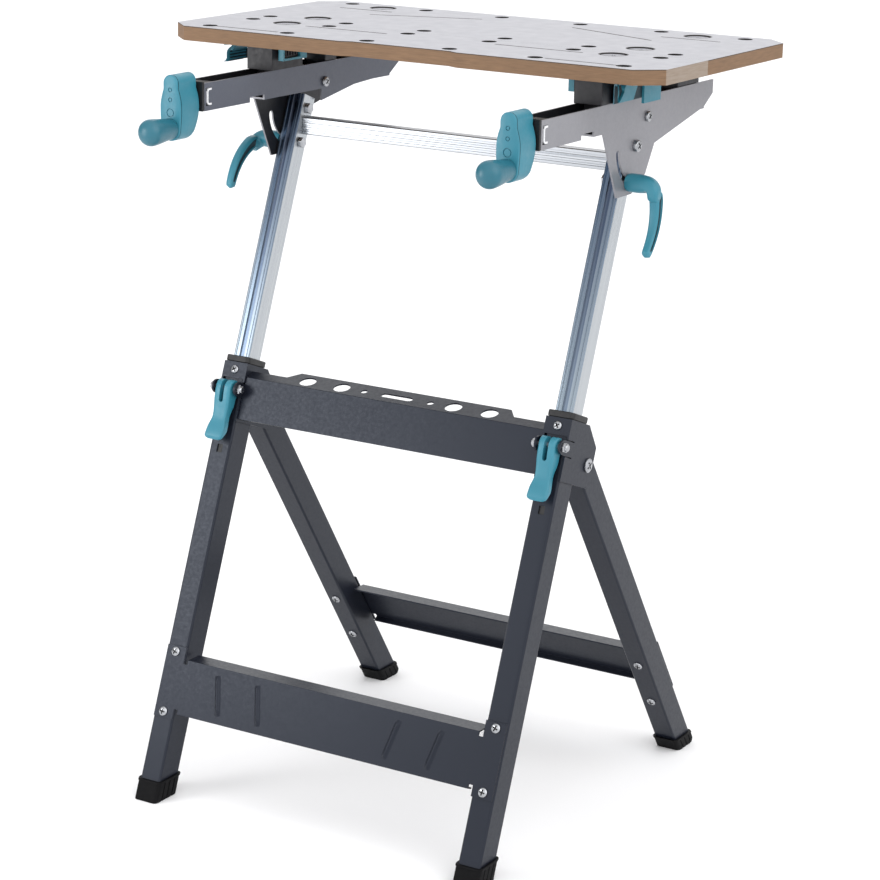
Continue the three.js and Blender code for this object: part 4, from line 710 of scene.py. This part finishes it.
front_face = leg_frame @ Matrix.Translation((0, -(LEG_FACE + BEAM_FACE) * MM, 0))
rear_face = (rear_frame @ Matrix.Translation((0, (REAR_LEG_FACE + BEAM_FACE) * MM, -rear_leg_length * MM))
             @ Matrix.Rotation(math.pi, 4, "Z"))
for name, place, body, (low, high) in (
    ("front", front_face, "base", FRONT_BEAM_BEADS),
    ("rear", rear_face, "rear_frame", REAR_BEAM_BEADS),
):
    for side, sign in SIDES.items():
        for i, foot in enumerate(BEAD_FEET):
            mesh = bead_mesh((sign * foot, low), (sign * (foot + BEAD_SLANT), high))
            piece = new_piece(f"{name}_beam_bead_{side}_{i + 1}", mesh, "frame_paint", 60)
            put(piece, place, body, "frame_paint")


# Cranks, knobs and spindles
def crank_mesh():
    """The crank hangs from the spindle's axis, with its front face at y = 0, and carries three moulding marks."""
    belly = (CRANK_BELLY, -CRANK_BELLY_DOWN)
    flank = [
        *curve((CRANK_FOOT, -CRANK_THROW), (CRANK_BELLY, -(CRANK_THROW + CRANK_BELLY_DOWN) / 2), belly, 8),
        *curve(belly, (CRANK_BELLY, 0), (CRANK_TOP_RADIUS, CRANK_SHOULDER), 8)[1:],
    ]
    outline = [
        *flank,
        *arc(0, CRANK_TOP, CRANK_TOP_RADIUS, 0, math.pi, 16),
        *[(-u, v) for u, v in reversed(flank)],
        *arc(0, -CRANK_THROW, CRANK_FOOT, math.pi, 2 * math.pi, 20)[1:-1],
    ]
    edge, seam, depth = 1.3, CRANK_SEAM, CRANK_DEPTH
    rings = [(edge, 0), (0.3 * edge, 0.3 * edge), (0, edge), (0, 2 * edge), (seam, 2 * edge),
             (seam, 2 * edge + seam), (0, 2 * edge + seam), (0, depth - edge),
             (0.3 * edge, depth - 0.3 * edge), (edge, depth)]
    mesh = skin([[(u, y, v) for u, v in inset(outline, step)] for step, y in rings], "crank")
    mesh.materials.append(materials["teal_plastic"])
    mesh.materials.append(materials["teal_shadow"])
    # painted shade: the faces of the seam groove take the dark teal
    for face in mesh.polygons:
        ring = face.index // len(outline)
        face.material_index = 1 if ring in (3, 4, 5) else 0
    for vertex in mesh.vertices:
        low = max(0.0, -vertex.co.z / MM - 14) / 38
        vertex.co.y *= 1 - 0.34 * low ** 1.7
    for up, radius in ((12.5, 3), (0, 3), (-16.5, 5.6)):
        ring = skin([[(u, y, v + up) for u, v, _ in circle(radius, 0, 32)] for y in (-1, 1.1)], "ring")
        mesh = cut(mesh, ring)
        post = skin([[(u, y, v + up) for u, v, _ in circle(radius - 1.1, 0, 32)] for y in (0.05, 1.6)], "post")
        mesh = joined(mesh, post)
    boss = skin([[(u, y, v) for u, v, _ in circle(CRANK_BOSS_RADIUS, 0, 32)]
                 for y in (CRANK_DEPTH - 1, CRANK_DEPTH + CRANK_BOSS)], "boss")
    return joined(mesh, boss)


def joined(first, second):
    bm = bmesh.new()
    bm.from_mesh(first)
    bm.from_mesh(second)
    mesh = mesh_of(bm, first.name)
    for material in first.materials:
        mesh.materials.append(material)
    return mesh


def knob_mesh():
    """The knob stands on its flat end and points along +Z."""
    dome = 13
    straight = KNOB_LENGTH - dome
    profile = [(0, 0), (KNOB_NECK - 1, 0), (KNOB_NECK - 0.3, 0.3), (KNOB_NECK, 1)]
    for i in range(1, 13):
        share = i / 12
        swell = share * share * (3 - 2 * share)
        profile.append((KNOB_NECK + (KNOB_RADIUS - KNOB_NECK) * swell, 1 + (straight - 1) * share))
    for i in range(1, 13):
        turn = math.pi / 2 * i / 12
        profile.append((KNOB_RADIUS * math.cos(turn), straight + dome * math.sin(turn)))
    return lathe(profile, "knob")


def spindle_mesh(start, end, collar):
    """A threaded rod along +Y from start to end, plain from its start to behind its collar."""
    steps = 20
    plain = collar + 6
    rings = []

    def ring(y, radii):
        turns = [2 * math.pi * i / steps for i in range(steps)]
        rings.append([(r * math.sin(t), y, r * math.cos(t)) for t, r in zip(turns, radii)])

    full = [SPINDLE_RADIUS] * steps
    for y, radius in ((start, SPINDLE_RADIUS), (collar, SPINDLE_RADIUS), (collar, 9), (collar + 4, 9),
                      (collar + 4, SPINDLE_RADIUS), (plain, SPINDLE_RADIUS)):
        ring(y, [radius] * steps)
    count = round((end - plain) / (THREAD_PITCH / 6))
    lead = THREAD_PITCH * THREAD_STARTS
    for i in range(1, count):
        y = plain + (end - plain) * i / count
        turns = [2 * math.pi * k / steps for k in range(steps)]
        waves = [math.cos(2 * math.pi * THREAD_STARTS * (y / lead - t / (2 * math.pi))) for t in turns]
        ring(y, [SPINDLE_RADIUS - THREAD_DEPTH * (0.5 - 0.5 * max(-1, min(1, 1.8 * w))) for w in waves])
    ring(end, [r - THREAD_DEPTH for r in full])
    return skin(rings, "spindle")


for side in SIDES:
    axis = joint_places[f"crank_{side}_turn"]
    knob_axis = joint_places[f"knob_{side}_spin"]
    knob_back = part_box(f"crank_knob_{side}")[1].y
    front = knob_back + 0.3 * MM
    crank = new_piece(f"crank_{side}", crank_mesh(), "teal_plastic", 50)
    put(crank, Matrix.Translation((axis.x, front, axis.z)), f"crank_{side}", "teal_plastic", f"crank_arm_{side}")
    knob = new_piece(f"knob_{side}", knob_mesh(), "teal_grip", 50)
    put(knob, facing((knob_axis.x, knob_back, knob_axis.z), (0, -1, 0)), f"knob_{side}", "teal_plastic",
        f"crank_knob_{side}")
    low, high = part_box(f"spindle_{side}")
    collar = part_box(f"arm_end_bearing_{side}")[1].y + 0.3 * MM
    mesh = spindle_mesh(low.y / MM, high.y / MM, collar / MM)
    rod = new_piece(f"threaded_spindle_{side}", mesh, "zinc")
    put(rod, Matrix.Translation((axis.x, 0, axis.z)), f"crank_{side}", "zinc", f"spindle_{side}")


# Tilt levers
def lever_mesh():
    """A round stem along +X that bends down into a bowed, tapering handle, grooved on both flat faces."""
    bend = 12
    turn_start = LEVER_HANDLE - bend
    path = [(LEVER_STEM + (turn_start - LEVER_STEM) * i / 6, 0, 0) for i in range(7)]
    path += [(u, 0, v) for u, v in arc(turn_start, -bend, bend, math.pi / 2, 0, 8)[1:]]
    count = 30
    for i in range(1, count + 1):
        share = i / count
        z = -bend + (LEVER_TIP + bend) * share
        t = z / LEVER_TIP
        path.append((LEVER_HANDLE, 4 * LEVER_BULGE * t * (1 - t), z))
    path = [Vector(point) for point in path]
    total = len(path) - 1
    steps = 96
    rings = []
    hollows = []
    for i, point in enumerate(path):
        along = (path[min(i + 1, total)] - path[max(i - 1, 0)]).normalized()
        wide = (Vector((0, 1, 0)) - along * along.y).normalized()
        out = along.cross(wide)
        down = max(0.0, min(1.0, (point.z + bend) / (LEVER_TIP + bend)))
        bent = max(0.0, min(1.0, (i - 4) / 10))
        half_width = 12 + (9.2 - 12) * bent + (5.6 - 9.2) * down
        half_depth = 12 + (7.6 - 12) * bent + (5.4 - 7.6) * down
        left = (point - path[-1]).length
        close = math.sqrt(max(0.03, 1 - max(0.0, 1 - left / 5.0) ** 2)) if left < 5 else 1.0
        close = min(close, 0.9 + 0.1 * min(1.0, i))
        groove = 3.4 * max(0.0, min(1.0, down * 9, (0.93 - down) * 9))
        ring = []
        for k in range(steps):
            turn = 2 * math.pi * k / steps
            c, s = math.cos(turn), math.sin(turn)
            square = 2 / (2 + 1.4 * bent)
            u = half_width * close * math.copysign(abs(c) ** square, c)
            v = half_depth * close * math.copysign(abs(s) ** square, s)
            hollow = max(0.0, min(1.0, (0.55 * half_width - abs(u)) / 0.4))
            v -= math.copysign(groove * hollow, s)
            ring.append(point + wide * u + out * v)
            hollows.append(groove * hollow > 0.8)
        rings.append(ring)
    mesh = skin(rings, "lever")
    mesh.materials.append(materials["teal_plastic"])
    mesh.materials.append(materials["teal_shadow"])
    # painted shade: the groove floors take the dark teal
    for face in mesh.polygons:
        if all(v < len(hollows) and hollows[v] for v in face.vertices):
            face.material_index = 1
    return mesh


for side, sign in SIDES.items():
    bolt = joint_places[f"tilt_lever_{side}_swing"]
    piece = new_piece(f"tilt_lever_grip_{side}", lever_mesh(), "teal_plastic", 70)
    turn = Matrix.Rotation(-LEVER_ANGLES[side], 4, "X")
    about = Matrix.Rotation(0 if sign > 0 else math.pi, 4, "Z")
    put(piece, Matrix.Translation(bolt) @ turn @ about, f"tilt_lever_body_{side}", "teal_plastic",
        f"tilt_lever_{side}")


# Height levers
def height_lever_mesh():
    """The lever hangs from its pin, with its front towards -y: a round hub, a waist and a square paddle."""
    hub, length = HEIGHT_LEVER_HUB, HEIGHT_LEVER_LENGTH
    neck, waist, flare, heel = (share * length for share in (0.3, 0.55, 0.8, 0.94))
    bow, half, slim, paddle, corner = 6, 12.5, 11, 13.8, 5.5

    def along(points, drop):
        """The value at a drop below the pin, smooth between (drop, value) pairs."""
        for (low, first), (high, second) in zip(points, points[1:]):
            if drop <= high:
                share = max(0.0, (drop - low) / (high - low))
                return first + (second - first) * share * share * (3 - 2 * share)
        return points[-1][1]

    drops = [hub * -math.cos(math.pi / 2 * i / 10) for i in range(1, 10)]
    drops += [length * i / 40 for i in range(41)]
    steps = 56
    rings = []
    for drop in drops:
        if drop < 0:
            front = back = math.sqrt(hub * hub - drop * drop)
            front = -front
        else:
            front = along([(0, -hub), (waist, -bow), (heel, -hub), (length, -hub * 0.85)], drop)
            back = along([(0, hub), (neck, hub * 0.9), (waist, bow), (flare, bow * 0.5), (length, -bow)], drop)
        wide = along([(0, half), (neck * 0.7, half), (waist, slim), (flare, paddle), (length, paddle)], drop)
        left = length - drop
        if left < corner:
            wide -= corner - math.sqrt(max(0.0, corner * corner - (corner - left) ** 2))
        square = 2 / 6
        ring = []
        for k in range(steps):
            turn = 2 * math.pi * k / steps
            c, s = math.cos(turn), math.sin(turn)
            u = wide * math.copysign(abs(c) ** square, c)
            v = (front + back) / 2 + (back - front) / 2 * math.copysign(abs(s) ** square, s)
            ring.append((u, v, -drop))
        rings.append(ring)
    slot = HEIGHT_LEVER_SLOT
    gap = [(slot, 2 * hub), (-slot, 2 * hub), *arc(0, slot - HEIGHT_LEVER_FORK, slot, math.pi, 2 * math.pi, 10)]
    cutter = skin([[(u, y, v) for u, v in gap] for y in (-2 * hub, 2 * hub)], "gap")
    return cut(skin(rings, "height_lever"), cutter)


for side in SIDES:
    pin = joint_places[f"height_lever_{side}_swing"]
    piece = new_piece(f"height_lever_grip_{side}", height_lever_mesh(), "teal_plastic", 50)
    put(piece, Matrix.Translation(pin) @ Matrix.Rotation(-LEAN, 4, "X"), f"height_lever_body_{side}",
        "teal_plastic", f"height_lever_{side}")


# Latch tabs on the slots at the front of the arms: zinc clips drawn in near-white, a painted glint
def latch_mesh(start, end):
    """A bracket with rounded corners, open to the back."""
    front, back, bar = LATCH_FRONT, LATCH_FRONT + LATCH_LENGTH, LATCH_BAR
    low, high = LATCH_LOW, LATCH_LOW + LATCH_HEIGHT
    round_out, round_in = 5, 5 - LATCH_BAR
    quarter = math.pi / 2
    outline = [
        (back, low), (back, low + bar),
        *arc(front + round_out, low + round_out, round_in, 3 * quarter, 2 * quarter, 5),
        *arc(front + round_out, high - round_out, round_in, 2 * quarter, quarter, 5),
        (back, high - bar), (back, high),
        *arc(front + round_out, high - round_out, round_out, quarter, 2 * quarter, 5),
        *arc(front + round_out, low + round_out, round_out, 2 * quarter, 3 * quarter, 5),
    ]
    return skin([[(x, u, v) for u, v in outline] for x in (start, end)], "latch")


for side, sign in SIDES.items():
    arm_x = joint_places[f"crank_{side}_turn"].x
    for end, way in (("outer", sign), ("inner", -sign)):
        mesh = latch_mesh(way * (ARM_PLATES[0] + 0.1), way * (ARM_PLATES[1] + 0.8))
        # painted glint: a near-white matte colour stands in for the zinc's shine
        piece = new_piece(f"latch_tab_{end}_{side}", mesh, "bright")
        put(piece, Matrix.Translation((arm_x, table_place.y, table_place.z)), "table", "zinc")


# Release clips: ribs in the inner tab's pocket, and dark teal sheets of painted shade with ribs in the hook's arch
def bars_mesh(sign, bars):
    """Bars given as ranges of x away from the bench's middle, y and z."""
    bm = bmesh.new()
    for spans in bars:
        (x0, x1), (y0, y1), (z0, z1) = spans
        place = Matrix.Translation(Vector(((x0 + x1) / 2 * sign, (y0 + y1) / 2, (z0 + z1) / 2)) * MM)
        size = Matrix.Diagonal((abs(x1 - x0) * MM, (y1 - y0) * MM, (z1 - z0) * MM, 1))
        bmesh.ops.create_cube(bm, size=1, matrix=place @ size)
    return mesh_of(bm, "bars")


def rim_mesh(sign):
    """A raised rim round the arch, on the hook's slanted front."""
    inner, outer = ARCH_SIDES
    middle, radius = (inner + outer) / 2, (outer - inner) / 2
    spring = ARCH_LOW + ARCH_SPRING
    turns = [math.pi * (1 - i / 20) for i in range(21)]
    spots = [(math.pi, ARCH_LOW + 0.5), *[(turn, spring) for turn in turns], (0, ARCH_LOW + 8.5)]
    rings = []
    for turn, up in spots:
        ring = []
        for reach, proud in ((radius - 0.8, 0.9), (radius + 0.9, 0.9), (radius + 0.9, -1.5), (radius - 0.8, -1.5)):
            x = middle + reach * math.cos(turn)
            front = ARCH_FRONT + ARCH_SLANT * (1 - (x - ARCH_CARRIAGE) / ARCH_REACH)
            ring.append((sign * x, front - proud, up + reach * math.sin(turn)))
        rings.append(ring)
    return skin(rings, "rim")


tab_floor = TAB_INNER + TAB_POCKET
(tab_front, tab_back), (tab_low, tab_high) = TAB_POCKET_Y, TAB_POCKET_Z
tab_pitch = (tab_back - tab_front) / (TAB_RIBS + 1)
tab_bars = [((tab_floor - 0.8, tab_floor + 0.1), (tab_front + 0.2, tab_back - 0.2), (tab_low + 0.2, tab_high - 0.2))]
for i in range(TAB_RIBS):
    middle = tab_front + tab_pitch * (i + 1)
    tab_bars.append(((tab_floor - 2.8, tab_floor - 0.5), (middle - 0.9, middle + 0.9), (tab_low + 3, tab_high - 3)))
arch_inner, arch_outer = ARCH_SIDES
# dark teal sheets of painted shade on the arch's inner walls
arch_shade_bars = [
    ((arch_inner - 0.2, arch_inner + 0.7), (ARCH_FRONT + 37, ARCH_BACK), (ARCH_LOW + 0.4, ARCH_LOW + 22)),
    ((arch_outer - 0.2, arch_outer + 0.2), (ARCH_FRONT + 6, ARCH_FRONT + 68), (ARCH_LOW + 8.4, ARCH_LOW + 22)),
]
arch_ribs = [
    ((arch_outer - 0.95, arch_outer), (ARCH_FRONT + 8, ARCH_FRONT + 45), (ARCH_LOW + up, ARCH_LOW + up + 1.8))
    for up in (10, 14, 18)
]
finger_wedge = [(ARCH_FRONT - 1, ARCH_LOW + 9), (ARCH_FRONT + 3, ARCH_LOW + 9),
                *arc(ARCH_FRONT + 24, ARCH_LOW + 20, 10, math.pi, math.pi / 2, 8), (ARCH_FRONT - 1, ARCH_LOW + 30)]
for side, sign in SIDES.items():
    place = Matrix.Translation((joint_places[f"crank_{side}_turn"].x, table_place.y, table_place.z))
    clip = nodes[f"release_clip_{side}"].data.copy()
    span = [sign * (arch_inner + arch_outer) / 2, sign * (arch_outer + 6)]
    wedge = skin([[(x, u, v) for u, v in finger_wedge] for x in span], "wedge")
    wedge.transform(place)
    clip = cut(clip, wedge)
    clip.materials.clear()
    clip.materials.append(materials["teal_plastic"])
    piece = new_piece(f"release_clip_{side}", clip, "teal_plastic")
    soften(piece, 0.9)
    put(piece, Matrix.Identity(4), f"release_{side}", "teal_plastic", f"release_clip_{side}")
    put(new_piece(f"clip_rim_{side}", rim_mesh(sign), "teal_plastic"), place, f"release_{side}", "teal_plastic")
    for name, bars, material, slot in (
        ("ribs", tab_bars, "holder_plastic", "black_plastic"),
        ("arch_lining", arch_shade_bars, "teal_shadow", "black_plastic"),
        ("arch_ribs", arch_ribs, "teal_plastic", "teal_plastic"),
    ):
        piece = new_piece(f"clip_{name}_{side}", bars_mesh(sign, bars), material)
        put(piece, place, f"release_{side}", slot)


# Camera, floor and light
def add_camera():
    turn, rise, roll = math.radians(30.87), math.radians(15.40), math.radians(1.30)
    right = Vector((math.cos(turn), math.sin(turn), 0))
    back = Vector((math.sin(turn) * math.cos(rise), -math.cos(turn) * math.cos(rise), math.sin(rise)))
    up = back.cross(right)
    across = right * math.cos(roll) + up * math.sin(roll)
    upward = up * math.cos(roll) - right * math.sin(roll)
    data = bpy.data.cameras.new("camera")
    data.sensor_width = 36
    data.lens = 110.32
    camera = bpy.data.objects.new("camera", data)
    bpy.context.collection.objects.link(camera)
    place = Matrix((across, upward, back)).transposed().to_4x4()
    place.translation = Vector((1.79968, -2.98325, 1.43275))
    camera.matrix_world = place
    bpy.context.scene.camera = camera


def add_floor(size=12):
    mesh = bpy.data.meshes.new("floor")
    corners = [(-size, -size, 0), (size, -size, 0), (size, size, 0), (-size, size, 0)]
    mesh.from_pydata(corners, [], [(0, 1, 2, 3)])
    floor = bpy.data.objects.new("floor", mesh)
    bpy.context.collection.objects.link(floor)
    s = Shader("pale_floor", 0.9, specular=0.1)
    s.colour(s.blend(s.noise(3, 2), (0.87, 0.87, 0.88, 1), (0.89, 0.89, 0.9, 1)))
    mesh.materials.append(s.material)
    floor.location.z = -0.0005


def add_sun(name, toward, power):
    """A broad soft light, the same over the whole floor."""
    data = bpy.data.lights.new(name, "SUN")
    data.energy = power
    data.angle = math.radians(60)
    light = bpy.data.objects.new(name, data)
    bpy.context.collection.objects.link(light)
    light.rotation_mode = "QUATERNION"
    light.rotation_quaternion = Vector(toward).to_track_quat("Z", "Y")


def add_panel(name, place, toward, size, power):
    """A soft rectangular light aimed at a point."""
    data = bpy.data.lights.new(name, "AREA")
    data.shape = "RECTANGLE"
    data.size, data.size_y = size
    data.energy = power
    light = bpy.data.objects.new(name, data)
    bpy.context.collection.objects.link(light)
    light.location = place
    light.rotation_mode = "QUATERNION"
    light.rotation_quaternion = (Vector(place) - Vector(toward)).to_track_quat("Z", "Y")


def add_world(toward, dim, bright):
    """White light from all round, stronger from one side."""
    world = bpy.data.worlds.new("studio")
    world.use_nodes = True
    tree = world.node_tree
    place = tree.nodes.new("ShaderNodeTexCoord")
    dot = tree.nodes.new("ShaderNodeVectorMath")
    dot.operation = "DOT_PRODUCT"
    dot.inputs[1].default_value = Vector(toward).normalized()
    ramp = tree.nodes.new("ShaderNodeMapRange")
    for name, number in (("From Min", -0.6), ("From Max", 1.0), ("To Min", dim), ("To Max", bright)):
        ramp.inputs[name].default_value = number
    tree.links.new(place.outputs["Generated"], dot.inputs[0])
    tree.links.new(dot.outputs["Value"], ramp.inputs["Value"])
    tree.links.new(ramp.outputs["Result"], tree.nodes["Background"].inputs["Strength"])
    tree.nodes["Background"].inputs["Color"].default_value = (1, 1, 1, 1)
    bpy.context.scene.world = world


add_camera()
add_floor()
add_sun("key", (0.8, -0.3, 0.62), 0.72)
add_sun("fill", (-0.15, -1, 0.12), 0.3)
add_sun("back", (-0.45, 0.8, 0.25), 0.8)
add_panel("side", (-1.25, -1.5, 0.9), (-0.25, 0, 0.4), (0.7, 0.9), 11)
add_world((0.55, -0.2, 0.8), 0.25, 1.55)
bpy.context.scene.view_settings.view_transform = "Standard"
